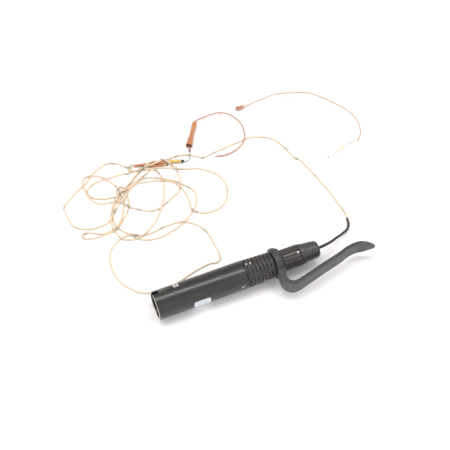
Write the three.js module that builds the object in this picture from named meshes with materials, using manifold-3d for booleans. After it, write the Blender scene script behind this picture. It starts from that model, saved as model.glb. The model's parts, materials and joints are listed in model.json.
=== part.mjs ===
// Headset microphone with a phantom-power adapter, laid out on a table: the adapter with its belt clip,
// the thin cable in a loose tangle, the repaired joint in the cable, the ear hook, and the boom that has
// come out of it. Millimetres, +Z up. Bench coordinates are the table's own; ORIGIN moves them to the part's.
import * as THREE from 'three';
import { mergeVertices } from 'three/addons/utils/BufferGeometryUtils.js';
import Module from 'manifold-3d';

const wasm = await Module();
wasm.setup();

// ---- driving dimensions ----
const GAP = 0.3; // clearance between neighbouring pieces
const ROUND = 32; // sides of the large turned pieces
const SMALL_ROUND = 16; // sides of the small turned pieces
const WIRE_SIDES = 8;
const MERGE = 1e-4; // vertices closer than this are one
const ORIGIN = new THREE.Vector3(25.45, 18.34, 0); // bench point under the middle of the object

// Adapter: a turned body whose local X axis runs from the plug's open rim to the cable cap.
const ADAPTER_AT = [-44.9, -68.1]; // bench place of the middle of the rim
const ADAPTER_YAW = 22; // degrees
const SHELL_RADIUS = 9.5;
const SHELL_BORE = 8.1;
const SHELL_END = 61.8;
const NECK_RADIUS = 7.6;
const NECK_BORE = 4.9;
const CLIP_SEAT_RADIUS = 6;
const CLIP_RING = { start: 82.3, shoulder: 85.3, end: 88, radius: 10.3, endRadius: 8.8 };
const NECK_END = 88.3;
const KEY_ANGLE = 120; // angles round the adapter go from the front, over the top
const KEYWAY = { width: 3.4, length: 4 };
const LATCH_WINDOW = { start: 15.3, end: 17.3, width: 2.6, angle: 123 };
const INSERT = { start: 15.5, end: 26, radius: SHELL_BORE - GAP };
const PIN_CIRCLE = 3.9;
const PIN_RADIUS = 1.2;
const PIN_TIP = 3;
const PIN_TAIL = 30;
const SCREW = { x: 21, angle: KEY_ANGLE + 180, radius: 1.2, depth: 3 };
const BOARD = { start: 31, end: 60, width: 13, thickness: 1 };
const GRIP = {
  start: SHELL_END + GAP, ribs: 63.5, count: 7, pitch: 2.6, radius: 9.4, endRadius: 8.6, groove: 0.7,
};
const GRIP_LAND = { angle: 42, width: 3 };
const NUT = { start: 88.6, end: 100.8, radius: 7.3, flutes: 18, fluteDepth: 0.55 };
const SOCKET_RADIUS = NECK_BORE - GAP;
const CAP = { start: 101.1, end: 114.8, radius: 7, endRadius: 5.75, bore: 3.6, cableHole: 1.3 };
const LABEL = { start: 23.6, end: 35, from: -65, to: 14, thickness: 0.25, lift: 0.1 };

// Belt clip: the middle line of the arm beside the adapter, seen from above, and the arm's half thickness.
const CLIP_ARM = [
  [85.1, -7.6], [84, -13], [84.6, -17.6], [87.4, -20.4], [91.5, -20.7], [100, -18.6], [112, -15.4],
  [124, -12.4], [132, -9.9], [138.5, -9.3], [143.5, -10.3], [147.5, -11.7], [150.5, -13.2],
];
const CLIP_ARM_HALF = [2, 2, 2, 1.8, 1.6, 1.6, 1.6, 1.55, 1.5, 1.45, 1.4, 1.3, 0.9];
const CLIP_WIDTH = 11.4;
const CLIP_ARM_STEPS = 36;

// Sleeve that guards the cable where it leaves the cap: bench points after the cap, down to the table.
const RELIEF_RADIUS = 0.95;
const RELIEF_ROUTE = [
  [69.7, -19.6, 8.7], [75.2, -13.4, 5.2], [79.6, -8.3, 2.4], [83.1, -4.2, 1.3], [84.3, 0, 1.1],
  [83.7, 4.7, 1.1],
];

// Cable: one thin lead, hand-routed on the table from the relief to the repaired joint.
const CABLE_RADIUS = 0.6;
const CABLE_STEPS = 84;
const CABLE_START_HEIGHT = 1.1;
const CABLE_ROUTE = [
  // from the adapter, past the ear hook, to the knot
  [83.6, 5.1], [82.2, 10], [77, 20], [68.5, 34], [59.5, 46.5], [53.5, 54.5], [50.5, 56], [48, 59],
  [42.5, 66], [36, 72.5], [26.5, 75.5], [17.5, 74.5], [7, 69.5], [-3, 64], [-8.5, 61], [-14, 57.5],
  [-16.5, 56], [-20, 58], [-27, 59.5], [-35, 58], [-39.5, 56], [-44.5, 53], [-51.5, 49.8], [-55, 48.8],
  [-58.5, 46], [-62, 42], [-66, 36], [-72, 24], [-74, 15], [-77.5, 5.5], [-82, 0], [-90, -3.5],
  [-99, -3.5], [-104, -0.5], [-109, 8], [-111, 14], [-108, 20.5], [-98, 34], [-92, 44], [-84.5, 51],
  [-77, 51.5], [-71, 48.8], [-67.8, 47.6], [-66.3, 45.6], [-67.2, 43.7], [-70, 42.9], [-74, 41.7],
  [-82, 38.5], [-92, 34], [-96, 28], [-94, 23.5], [-86, 21], [-78, 22.5], [-74.5, 24],
  // the two big rings right of the knot, and the long loop in front of them
  [-72.5, 28], [-66, 32.5], [-60, 37.5], [-54, 39.5], [-44, 38.5], [-34, 36], [-26, 31.5], [-21, 27],
  [-19.5, 20], [-22, 11], [-29, 1], [-38, -7], [-49, -12], [-56, -12], [-64.5, -8.5], [-70, -11],
  [-75, -17], [-77, -26], [-75.5, -34.5], [-69, -45], [-59, -52], [-50, -53.5], [-40, -50.5], [-29, -44],
  [-18, -35.5], [-10, -31], [-5.6, -30.2], [-3.2, -27.8], [-3.9, -24.2], [-7.5, -14.5], [-14, -4],
  [-22, 1], [-30, 2], [-40, -1], [-48, -6], [-56, -8.5], [-65, -7.5], [-72.5, -3], [-77, 7], [-76, 17],
  [-74, 23],
  // round the knot, the hairpin on the left and the upper left loop
  [-75.9, 28], [-74.6, 30.6], [-72, 31.2], [-69.8, 29.2], [-67.5, 23], [-66.4, 15], [-69, 5],
  [-73.5, -3.5], [-81, -8], [-88, -10.7], [-93.5, -11.8], [-96.4, -9.5], [-94.4, -7.1], [-90, -7.1],
  [-82, -7.5], [-75.5, -4], [-71.5, 2], [-70, 12], [-70.5, 21], [-74, 28.5], [-80.5, 36], [-88, 40],
  [-96, 40.3], [-100, 36.5], [-98.5, 30], [-93, 20.5], [-85, 17], [-78, 18.5], [-72.5, 18.5], [-69, 16.7],
  // the ring that passes under the repaired joint, and the one that turns round below it
  [-65.5, 14.5], [-60, 12.5], [-53, 11], [-45, 13.5], [-37, 22], [-32.5, 27], [-31.5, 35.5],
  [-34.5, 46.5], [-37, 49.5], [-42.5, 52.8], [-49.5, 53], [-56, 49], [-63.5, 39.5], [-70.5, 28.5],
  [-76, 20], [-78, 9.5], [-77, -0.5], [-74, -7], [-68.5, -12], [-60, -11.5], [-53, -6], [-46.5, 5],
  [-43.5, 16], [-42.5, 28.5], [-44, 38], [-47.5, 44.5], [-49.6, 46.2], [-52, 46], [-57.5, 40.5],
  [-65.5, 31.5], [-72.5, 25.5], [-75.6, 22.5], [-75, 19.6], [-72.4, 18.3], [-70, 20.2], [-68.6, 25],
  // out to the right, and back to the repaired joint
  [-61.5, 34], [-54, 36], [-44, 36.7], [-36, 35], [-30, 30], [-25, 20], [-22.8, 12], [-20.5, 10.8],
  [-14, 9.5], [-5, 13], [0.5, 19], [1.7, 27], [-1, 37], [-7, 43], [-15, 46.5], [-20, 47.3], [-31, 46.9],
  [-39, 47.6], [-46, 47.9], [-53, 46.9], [-58.5, 46.2], [-63.5, 45.8], [-66.8, 45.9],
];
// Heights are settled on this many samples of each step; strands closer than TURN along the cable don't count.
const STEP_SAMPLES = 12;
const TURN = 12;
const SETTLE_ROUNDS = 60;
const STRAND_GAP = 0.12;
const KNOT_HEIGHT = 6; // the strands tied in the knot stand no higher than this

// Repaired joint in the cable: two heat-shrink sleeves, each with a gold barrel and a black tip.
const REAR_SLEEVE = { from: [-64.1, 49.2], to: [-42, 52.55], radius: 1.1 };
const FRONT_SLEEVE = { from: [-53.4, 48.55], to: [-43.6, 50.1], radius: 0.85 };
const BARREL = { from: [-41.2, 52.65], to: [-31.3, 53.2], radius: 1.3 };
const TIP = { from: [-31, 53.2], to: [-28.9, 53.3], radius: 1.2, endRadius: 0.6 };
const FRONT_BARREL = { from: [-43.2, 50.15], to: [-41.6, 50.35], radius: 0.7 };
const FRONT_TIP = { from: [-41.3, 50.4], to: [-40.3, 50.5], radius: 0.6, endRadius: 0.35 };
const JOINT_BORE = 0.4;
const LEAD_RADIUS = 0.35;
const LEAD_ROUTE = [
  [-28.6, 53.3, 1.3], [-27.3, 53.6, 0.9], [-25.8, 55, 0.5], [-25.2, 57.4, 0.4], [-25, 60, 0.45],
  [-25.1, 61.2, 0.8],
];
const BEAD = { from: [-25.1, 61.6, 1], to: [-25.4, 64, 1.9], radius: 0.75 };
const INNER_LEAD = { from: [-25.45, 64.4, 2], to: [-25.9, 69.6, 2.3], radius: 0.35 };
const STUB_RADIUS = 0.25;
const GREEN_STUB = [[-64.4, 49.4, 1.4], [-65.4, 49.3, 1.4], [-66.3, 49.9, 1.2], [-66.8, 50.9, 1.05]];
const WHITE_STUB = [[-64.4, 48.8, 1], [-65.5, 48.5, 0.9], [-66.4, 47.9, 0.85], [-66.8, 47, 0.8]];

// Ear hook: a flared sleeve and the springy wire that turns in its narrow end.
const EAR_SLEEVE = {
  mouth: [-25.8, 65.9, 2.45], top: [-22, 87.3, 1.9], mouthRadius: 2.4, waist: 1.55, topRadius: 1.75,
};
const EAR_WIRE_RADIUS = 0.5;
const EAR_WIRE_BORE = 0.8;
const EAR_WIRE_INSIDE = 5;
const EAR_WIRE_ROUTE = [
  [-15.8, 92.2, 2], [-9.7, 95.2, 2.1], [-3, 96.4, 2.2], [2.2, 95.3, 2.2], [7.5, 91.5, 2.3],
  [11.6, 86.2, 2.4], [13.7, 79.8, 2.4], [14.2, 74.6, 2.3], [13.4, 70.2, 2.1], [10.6, 65.8, 1.7],
  [5.3, 61.4, 1.2], [-0.2, 58.9, 0.8], [-7.4, 57.9, 0.55],
];

// Boom: a thin bent tube with the microphone at one end, its other end turning in an ivory sleeve.
const BOOM_RADIUS = 0.5;
const BOOM_ROUTE = [
  [22.5, 106.7, 2.5], [28.6, 109.2, 3.2], [34.6, 111.6, 4], [40.6, 112.8, 4.6], [49, 112.9, 5.2],
  [58, 112.4, 6], [64.6, 110.6, 6.5], [71.8, 106.5, 7], [80.2, 101, 7.3], [88, 95.6, 7],
  [92.8, 90.8, 6.5], [95.9, 85.4, 5.5], [97.5, 80.5, 4.2], [97.6, 76.6, 2.7],
];
const BOOM_SLEEVE = { radius: 1.15, bore: 0.8, sides: 10, steps: 16 };
const BOOM_SLEEVE_ROUTE = [
  [94.6, 72.3, 1.25], [91.2, 71.05, 1.25], [87.4, 69.6, 1.25], [83.2, 65.2, 1.25], [77.8, 61.8, 1.25],
  [73.8, 57.1, 1.25],
];
const BOOM_INSIDE = 3; // how far the boom reaches into the ivory sleeve
const CAPSULE_AT = [7.9, 100.4, 1.7]; // bench place of the microphone's front
const CAPSULE_TO = [15.7, 103.7, 1.9]; // bench place where its neck becomes the boom
const MESH_CAP = { end: 4.8, radius: 1.6, bore: 1.4, wall: 0.25 };
const CAPSULE = { start: 0.9, end: 5.6, radius: 1.1, bore: 0.85 };
const NECK = { end: 8.2, radius: 1.25, endRadius: 0.65 };

// ---- finishes ----
const finishes = {
  shell: material(0x2b2827, 0.45, 0.3),
  insert: material(0x1c1c1e, 0.6, 0),
  contact: material(0xd8d0b8, 0.25, 1),
  steel: material(0xb8b8ba, 0.3, 1),
  board: material(0x1f5a38, 0.5, 0),
  component: material(0x202226, 0.5, 0),
  capacitor: material(0x24345c, 0.4, 0.2),
  copper: material(0xb87333, 0.35, 1),
  grip: material(0x242221, 0.7, 0),
  clip: material(0x3a3838, 0.5, 0),
  brass: material(0xc9a24a, 0.3, 1),
  insulator: material(0xe8e4da, 0.5, 0),
  relief: material(0x141414, 0.55, 0),
  cable: material(0xdcc09a, 0.5, 0),
  shrink: material(0x6e2a12, 0.45, 0),
  barrel: material(0xd9a526, 0.35, 0.6),
  lead: material(0x8a8a80, 0.5, 0),
  green: material(0x2f8f5a, 0.5, 0),
  earWire: material(0xc98a72, 0.4, 0.2),
  boom: material(0xe3c4a4, 0.45, 0),
  ivory: material(0xf2ead6, 0.4, 0),
  mesh: material(0xb78a78, 0.5, 0.4),
  label: material(0xd6dfee, 0.5, 0),
};

function material(color, roughness, metalness) {
  return new THREE.MeshStandardMaterial({ color, roughness, metalness });
}

// ---- geometry helpers ----
function signedVolume(positions, triangles) {
  const corners = [new THREE.Vector3(), new THREE.Vector3(), new THREE.Vector3()];
  let sum = 0;
  for (let i = 0; i < triangles.length; i += 3) {
    corners.forEach((corner, k) => corner.fromArray(positions, 3 * triangles[i + k]));
    sum += corners[0].dot(corners[1].cross(corners[2]));
  }
  return sum;
}

function toSolid(geometry) {
  const bare = new THREE.BufferGeometry();
  bare.setAttribute('position', geometry.getAttribute('position'));
  bare.setIndex(geometry.getIndex());
  const merged = mergeVertices(bare, MERGE);
  const positions = merged.getAttribute('position').array;
  const index = merged.getIndex().array;
  const triangles = [];
  for (let i = 0; i < index.length; i += 3) {
    const [a, b, c] = index.slice(i, i + 3);
    if (a !== b && b !== c && c !== a) triangles.push(a, b, c);
  }
  if (signedVolume(positions, triangles) < 0) triangles.reverse();
  const mesh = new wasm.Mesh({
    numProp: 3,
    vertProperties: Float32Array.from(positions),
    triVerts: Uint32Array.from(triangles),
  });
  return new wasm.Manifold(mesh);
}

function toGeometry(solid) {
  const mesh = solid.getMesh();
  const geometry = new THREE.BufferGeometry();
  geometry.setAttribute('position', new THREE.BufferAttribute(mesh.vertProperties, 3));
  geometry.setIndex(new THREE.BufferAttribute(mesh.triVerts, 1));
  geometry.computeVertexNormals();
  return geometry;
}

// A body turned about the X axis from [x, radius] points.
function turned(profile, sides = ROUND) {
  const points = profile.map(([x, radius]) => new THREE.Vector2(radius, x));
  return toSolid(new THREE.LatheGeometry(points, sides).rotateZ(-Math.PI / 2));
}

function rod(start, end, radius, sides = SMALL_ROUND) {
  return turned([[start, 0], [start, radius], [end, radius], [end, 0]], sides);
}

function ring(start, end, radius, bore, sides = ROUND) {
  return turned([[start, bore], [start, radius], [end, radius], [end, bore], [start, bore]], sides);
}

function box(size, centre) {
  return toSolid(new THREE.BoxGeometry(...size).translate(...centre));
}

function moved(solid, matrix) {
  return toSolid(toGeometry(solid).applyMatrix4(matrix));
}

// Turns a solid made at the top of the adapter to an angle measured from the front, over the top.
function atAngle(solid, angle) {
  return moved(solid, new THREE.Matrix4().makeRotationX(THREE.MathUtils.degToRad(90 - angle)));
}

function regularOutline(radius, sides, Outline = THREE.Shape) {
  const corners = Array.from({ length: sides }, (_, i) => {
    const angle = (2 * Math.PI * i) / sides;
    return new THREE.Vector2(radius * Math.cos(angle), radius * Math.sin(angle));
  });
  return new Outline(corners);
}

// A path that an extrusion follows from one given point to the next.
class Polyline extends THREE.Curve {
  constructor(points) {
    super();
    this.points = points;
  }

  getPoint(t) {
    const place = THREE.MathUtils.clamp(t, 0, 1) * (this.points.length - 1);
    const step = Math.min(Math.floor(place), this.points.length - 2);
    return this.points[step].clone().lerp(this.points[step + 1], place - step);
  }

  getPointAt(u) {
    return this.getPoint(u);
  }

  getTangentAt(u) {
    return this.getTangent(u);
  }
}

function smoothPath(points) {
  const path = new THREE.CatmullRomCurve3(points, false, 'centripetal');
  path.arcLengthDivisions = 60 * points.length;
  return path;
}

function tube(path, radius, steps, { sides = WIRE_SIDES, bore = 0 } = {}) {
  const section = regularOutline(radius, sides);
  if (bore) section.holes.push(regularOutline(bore, sides, THREE.Path));
  return toSolid(new THREE.ExtrudeGeometry(section, { extrudePath: path, steps, bevelEnabled: false }));
}

function vectors(points) {
  return points.map(([x, y, z]) => new THREE.Vector3(x, y, z));
}

function piece(name, solid, finish) {
  const mesh = new THREE.Mesh(toGeometry(solid), finish);
  mesh.name = name;
  return mesh;
}

// A group whose local X axis runs from one bench point towards another.
function alignedGroup(from, to) {
  const group = new THREE.Group();
  const direction = new THREE.Vector3(...to).sub(new THREE.Vector3(...from)).normalize();
  group.position.set(...from);
  group.quaternion.setFromUnitVectors(new THREE.Vector3(1, 0, 0), direction);
  return group;
}

function distance(from, to) {
  return new THREE.Vector3(...from).distanceTo(new THREE.Vector3(...to));
}

// ---- adapter ----
function xlrShell() {
  const body = turned([
    [0, SHELL_BORE], [0, SHELL_RADIUS - 0.3], [0.3, SHELL_RADIUS], [SHELL_END - 0.4, SHELL_RADIUS],
    [SHELL_END, SHELL_RADIUS - 0.4], [SHELL_END, NECK_RADIUS], [CLIP_RING.start - GAP, NECK_RADIUS],
    [CLIP_RING.start - GAP, CLIP_SEAT_RADIUS], [NECK_END, CLIP_SEAT_RADIUS], [NECK_END, NECK_BORE],
    [SHELL_END - 1, NECK_BORE], [SHELL_END - 1, SHELL_BORE], [0, SHELL_BORE],
  ]);
  const keyway = box([2 * KEYWAY.length, KEYWAY.width, 4], [0, 0, SHELL_RADIUS]);
  const windowMiddle = (LATCH_WINDOW.start + LATCH_WINDOW.end) / 2;
  const windowLength = LATCH_WINDOW.end - LATCH_WINDOW.start;
  const latch = box([windowLength, LATCH_WINDOW.width, 4], [windowMiddle, 0, SHELL_RADIUS]);
  const screwHole = radialRod(SCREW.x, SCREW.radius + GAP, SHELL_BORE - 2, SHELL_RADIUS + 1);
  return body
    .subtract(atAngle(keyway, KEY_ANGLE))
    .subtract(atAngle(latch, LATCH_WINDOW.angle))
    .subtract(atAngle(screwHole, SCREW.angle));
}

// A rod standing on the adapter's axis, from one radius to another, at the top.
function radialRod(x, radius, inner, outer) {
  const upright = new THREE.Matrix4().makeRotationY(-Math.PI / 2).setPosition(x, 0, 0);
  return moved(rod(inner, outer, radius), upright);
}

function pinPlaces() {
  return [90, 270, 180].map((turn) => KEY_ANGLE + turn);
}

function pinMatrix(angle) {
  const turn = THREE.MathUtils.degToRad(angle);
  return new THREE.Matrix4().makeTranslation(0, -PIN_CIRCLE * Math.cos(turn), PIN_CIRCLE * Math.sin(turn));
}

function contactInsert() {
  const hole = rod(INSERT.start - 1, INSERT.end + 1, PIN_RADIUS + GAP);
  const screwHole = radialRod(SCREW.x, SCREW.radius + GAP, INSERT.radius - SCREW.depth + 1, INSERT.radius + 1);
  const body = rod(INSERT.start, INSERT.end, INSERT.radius, ROUND);
  const holed = pinPlaces().reduce((solid, angle) => solid.subtract(moved(hole, pinMatrix(angle))), body);
  return holed.subtract(atAngle(screwHole, SCREW.angle));
}

function contactPin() {
  return turned([
    [PIN_TIP, 0], [PIN_TIP + 0.2, PIN_RADIUS * 0.6], [PIN_TIP + 1, PIN_RADIUS], [PIN_TAIL, PIN_RADIUS],
    [PIN_TAIL, PIN_RADIUS * 0.6], [PIN_TAIL - 3, PIN_RADIUS * 0.6], [PIN_TAIL - 3, 0],
  ], SMALL_ROUND);
}

function insertScrew() {
  return atAngle(
    radialRod(SCREW.x, SCREW.radius, INSERT.radius - SCREW.depth + 1 + GAP, SHELL_RADIUS - 0.4),
    SCREW.angle,
  );
}

function groundTag() {
  return atAngle(box([0.4, 5, 2.6], [INSERT.end + GAP + 0.2, 0, SHELL_BORE - 2.4]), KEY_ANGLE);
}

function label() {
  const inner = SHELL_RADIUS + LABEL.lift;
  const outer = inner + LABEL.thickness;
  const from = THREE.MathUtils.degToRad(LABEL.from);
  const to = THREE.MathUtils.degToRad(LABEL.to);
  const outline = new THREE.Shape();
  outline.absarc(0, 0, outer, from, to, false);
  outline.absarc(0, 0, inner, to, from, true);
  const length = LABEL.end - LABEL.start;
  const sheet = new THREE.ExtrudeGeometry(outline, { depth: length, bevelEnabled: false, curveSegments: 10 });
  // the outline's X is the front and its Y the top
  const frame = new THREE.Matrix4().makeBasis(
    new THREE.Vector3(0, -1, 0),
    new THREE.Vector3(0, 0, 1),
    new THREE.Vector3(-1, 0, 0),
  );
  return toSolid(sheet.applyMatrix4(frame).translate(LABEL.end, 0, 0));
}

function circuitBoard() {
  const length = BOARD.end - BOARD.start;
  return box([length, BOARD.width, BOARD.thickness], [BOARD.start + length / 2, 0, 0]);
}

function addBoardParts(adapter) {
  const top = BOARD.thickness / 2 + GAP;
  const canRadius = 2.4;
  [34, 43.5].forEach((x, i) => {
    const can = rod(x, x + 8, canRadius).translate([0, 0, top + canRadius]);
    adapter.add(piece(`supply_capacitor_${i + 1}`, can, finishes.capacitor));
  });
  [-3.4, 3.4].forEach((y, i) => {
    const transistor = box([3.6, 4.4, 4.6], [56.5, y, top + 2.3]);
    adapter.add(piece(`buffer_transistor_${i + 1}`, transistor, finishes.component));
  });
  [-3, 3].forEach((y, i) => {
    const choke = rod(37, 43, 1.5, SMALL_ROUND).translate([0, y, -top - 1.5]);
    adapter.add(piece(`radio_choke_${i + 1}`, choke, finishes.copper));
  });
}

function addBoardLeads(adapter) {
  const leads = { signal_lead: 1.2, ground_lead: -1.2 };
  Object.entries(leads).forEach(([name, y]) => {
    const route = vectors([[BOARD.end + GAP, y, 0], [67, y, 0.4], [71, y, 0.4], [75.4, y, 0]]);
    adapter.add(piece(name, tube(smoothPath(route), 0.4, 6), finishes.copper));
  });
}

function gripSleeve() {
  const end = GRIP.ribs + GRIP.count * GRIP.pitch;
  const length = end - GRIP.start;
  const radiusAt = (x) => THREE.MathUtils.lerp(GRIP.radius, GRIP.endRadius, (x - GRIP.start) / length);
  const inner = NECK_RADIUS + GAP;
  const collarEnd = GRIP.ribs - 0.3;
  const ribbed = [
    [GRIP.start, inner], [GRIP.start, radiusAt(GRIP.start) - 0.2], [collarEnd, radiusAt(collarEnd) - 0.1],
  ];
  for (let rib = 0; rib < GRIP.count; rib += 1) {
    const x = GRIP.ribs + rib * GRIP.pitch;
    ribbed.push([x, radiusAt(x) - GRIP.groove]);
    ribbed.push([x + 0.6, radiusAt(x + 0.6)]);
    ribbed.push([x + GRIP.pitch - 0.6, radiusAt(x + GRIP.pitch - 0.6)]);
  }
  ribbed.push([end, radiusAt(end) - GRIP.groove], [end, inner], [GRIP.start, inner]);
  const cone = turned([
    [GRIP.start, inner], [GRIP.start, GRIP.radius], [end, GRIP.endRadius], [end, inner], [GRIP.start, inner],
  ]);
  const strip = box([length - 1, GRIP_LAND.width, 6], [GRIP.start + length / 2, 0, SHELL_RADIUS]);
  return turned(ribbed).add(cone.intersect(atAngle(strip, GRIP_LAND.angle)));
}

// The outline of a strap from its middle line and half thickness, with the thickness eased along it.
function strapOutline(line, halves, steps) {
  const middle = new THREE.SplineCurve(line.map(([x, y]) => new THREE.Vector2(x, y)));
  const thickness = new THREE.SplineCurve(halves.map((half, i) => new THREE.Vector2(i, half)));
  const sides = { left: [], right: [] };
  for (let i = 0; i <= steps; i += 1) {
    const t = i / steps;
    const point = middle.getPoint(t);
    const tangent = middle.getTangent(t);
    const across = new THREE.Vector2(-tangent.y, tangent.x).multiplyScalar(thickness.getPoint(t).y);
    sides.left.push(point.clone().add(across));
    sides.right.push(point.clone().sub(across));
  }
  return new THREE.Shape([...sides.left, ...sides.right.reverse()]);
}

function beltClip() {
  const outline = strapOutline(CLIP_ARM, CLIP_ARM_HALF, CLIP_ARM_STEPS);
  const arm = new THREE.ExtrudeGeometry(outline, { depth: CLIP_WIDTH, bevelEnabled: false });
  const { start, shoulder, end, radius, endRadius } = CLIP_RING;
  const bore = CLIP_SEAT_RADIUS + GAP;
  const collar = turned([
    [start, bore], [start, radius], [shoulder, radius], [end, endRadius], [end, bore], [start, bore],
  ]);
  return collar.add(toSolid(arm.translate(0, 0, -CLIP_WIDTH / 2)));
}

function lockNut() {
  const corners = [];
  for (let flute = 0; flute < NUT.flutes; flute += 1) {
    [0, 0.3, 0.5, 0.8].forEach((part) => {
      const angle = (2 * Math.PI * (flute + part)) / NUT.flutes;
      const radius = part < 0.4 ? NUT.radius : NUT.radius - NUT.fluteDepth;
      corners.push(new THREE.Vector2(radius * Math.cos(angle), radius * Math.sin(angle)));
    });
  }
  const length = NUT.end - NUT.start;
  const body = new THREE.ExtrudeGeometry(new THREE.Shape(corners), { depth: length, bevelEnabled: false });
  const blank = toSolid(body.rotateY(Math.PI / 2).translate(NUT.start, 0, 0));
  const threads = rod(NUT.start - 1, 97.6, SOCKET_RADIUS + GAP, ROUND);
  const lip = rod(97, NUT.end + 1, CAP.bore, ROUND);
  return blank.subtract(threads).subtract(lip);
}

function socketBody() {
  return ring(77, 95, SOCKET_RADIUS, 3.4, SMALL_ROUND);
}

function plugBody() {
  return turned([
    [89.5, 1.2], [89.5, 3.1], [95.3, 3.1], [95.3, SOCKET_RADIUS], [97.3, SOCKET_RADIUS], [97.3, 3.3],
    [104, 3.3], [104, 2.2], [97.3, 2.2], [97.3, 1.2], [89.5, 1.2],
  ], SMALL_ROUND);
}

function endCap() {
  return turned([
    [CAP.start, CAP.bore], [CAP.start, CAP.radius - 0.3], [CAP.start + 0.4, CAP.radius], [103.6, CAP.radius],
    [104, CAP.radius - 0.4], [113, CAP.endRadius], [114.3, CAP.endRadius - 0.6], [CAP.end, CAP.endRadius - 1.6],
    [CAP.end, CAP.cableHole], [110.2, CAP.cableHole], [110.2, CAP.bore], [CAP.start, CAP.bore],
  ]);
}

function makeAdapter() {
  const adapter = new THREE.Group();
  // the body rests on its open rim and on the clip's wider collar
  const rise = Math.asin((CLIP_RING.radius - SHELL_RADIUS) / CLIP_RING.start);
  adapter.position.set(...ADAPTER_AT, SHELL_RADIUS);
  adapter.rotation.set(0, -rise, THREE.MathUtils.degToRad(ADAPTER_YAW), 'ZYX');
  adapter.add(piece('xlr_shell', xlrShell(), finishes.shell));
  adapter.add(piece('contact_insert', contactInsert(), finishes.insert));
  pinPlaces().forEach((angle, i) => {
    const pin = piece(`contact_pin_${i + 1}`, moved(contactPin(), pinMatrix(angle)), finishes.contact);
    adapter.add(pin);
  });
  adapter.add(piece('insert_screw', insertScrew(), finishes.steel));
  adapter.add(piece('ground_tag', groundTag(), finishes.contact));
  adapter.add(piece('blank_label', label(), finishes.label));
  adapter.add(piece('circuit_board', circuitBoard(), finishes.board));
  addBoardParts(adapter);
  addBoardLeads(adapter);
  adapter.add(piece('grip_sleeve', gripSleeve(), finishes.grip));
  adapter.add(piece('belt_clip', beltClip(), finishes.clip));
  adapter.add(piece('lock_nut', lockNut(), finishes.shell));
  adapter.add(piece('socket_body', socketBody(), finishes.brass));
  adapter.add(piece('socket_insulator', ring(78, 86, 3.1, 1.2, SMALL_ROUND), finishes.insulator));
  adapter.add(piece('socket_contact', ring(76, 88.6, 0.9, 0.6, SMALL_ROUND), finishes.contact));
  adapter.add(piece('plug_body', plugBody(), finishes.brass));
  adapter.add(piece('plug_pin', rod(83, 99, 0.3, WIRE_SIDES), finishes.contact));
  adapter.add(piece('cable_clamp', ring(105, 109, 3.3, 1.3, SMALL_ROUND), finishes.steel));
  adapter.add(piece('end_cap', endCap(), finishes.shell));
  adapter.updateMatrixWorld();
  return adapter;
}

function strainRelief(adapter) {
  const inCap = [111, 116].map((x) => adapter.localToWorld(new THREE.Vector3(x, 0, 0)));
  return tube(smoothPath([...inCap, ...vectors(RELIEF_ROUTE)]), RELIEF_RADIUS, 18);
}

// ---- cable ----
// Round things that the cable lies over, as balls: the repaired joint and the thin lead after it.
function underlay() {
  const balls = [];
  [REAR_SLEEVE, FRONT_SLEEVE, BARREL, TIP, FRONT_BARREL, FRONT_TIP].forEach(({ from, to, radius }) => {
    for (let t = 0; t <= 1; t += 0.05) {
      const x = THREE.MathUtils.lerp(from[0], to[0], t);
      balls.push({ x, y: THREE.MathUtils.lerp(from[1], to[1], t), z: radius, radius });
    }
  });
  const lead = smoothPath(vectors(LEAD_ROUTE)).getSpacedPoints(12);
  lead.forEach(({ x, y, z }) => balls.push({ x, y, z, radius: LEAD_RADIUS }));
  return balls;
}

// Samples of the cable, each with the two route points that carry it and its share of them.
function cableSamples(points) {
  const samples = [];
  for (let step = 0; step < points.length - 1; step += 1) {
    for (let k = 0; k < STEP_SAMPLES; k += 1) {
      const share = k / STEP_SAMPLES;
      const flat = points[step].clone().lerp(points[step + 1], share);
      samples.push({ step, share, x: flat.x, y: flat.y });
    }
  }
  return samples;
}

// Lifts each stretch over the things under it and over the earlier stretches that it crosses.
function settle(points) {
  const samples = cableSamples(points);
  const balls = underlay();
  const spacing = points[0].distanceTo(points[1]) / STEP_SAMPLES;
  const apart = Math.ceil(TURN / spacing);
  const heightOf = ({ step, share }) => THREE.MathUtils.lerp(points[step].z, points[step + 1].z, share);
  const lift = (sample, other, reach) => {
    const flat = Math.hypot(sample.x - other.x, sample.y - other.y);
    if (flat >= reach) return;
    const missing = other.z + Math.sqrt(reach * reach - flat * flat) - heightOf(sample);
    if (missing <= 0) return;
    const { step, share } = sample;
    const total = share * share + (1 - share) * (1 - share);
    points[step].z = Math.min(KNOT_HEIGHT, points[step].z + (missing * (1 - share)) / total);
    points[step + 1].z = Math.min(KNOT_HEIGHT, points[step + 1].z + (missing * share) / total);
  };
  for (let round = 0; round < SETTLE_ROUNDS; round += 1) {
    samples.forEach((sample, i) => {
      balls.forEach((ball) => lift(sample, ball, ball.radius + CABLE_RADIUS + STRAND_GAP));
      for (let j = 0; j < i - apart; j += 1) {
        const under = samples[j];
        const near = Math.abs(sample.x - under.x) < 2 && Math.abs(sample.y - under.y) < 2;
        if (near) lift(sample, { x: under.x, y: under.y, z: heightOf(under) }, 2 * CABLE_RADIUS + STRAND_GAP);
      }
    });
  }
}

function cable() {
  const flat = smoothPath(CABLE_ROUTE.map(([x, y]) => new THREE.Vector3(x, y, CABLE_RADIUS)));
  const points = flat.getSpacedPoints(CABLE_STEPS);
  points[0].z = CABLE_START_HEIGHT;
  settle(points);
  return tube(new Polyline(points), CABLE_RADIUS, CABLE_STEPS);
}

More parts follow.
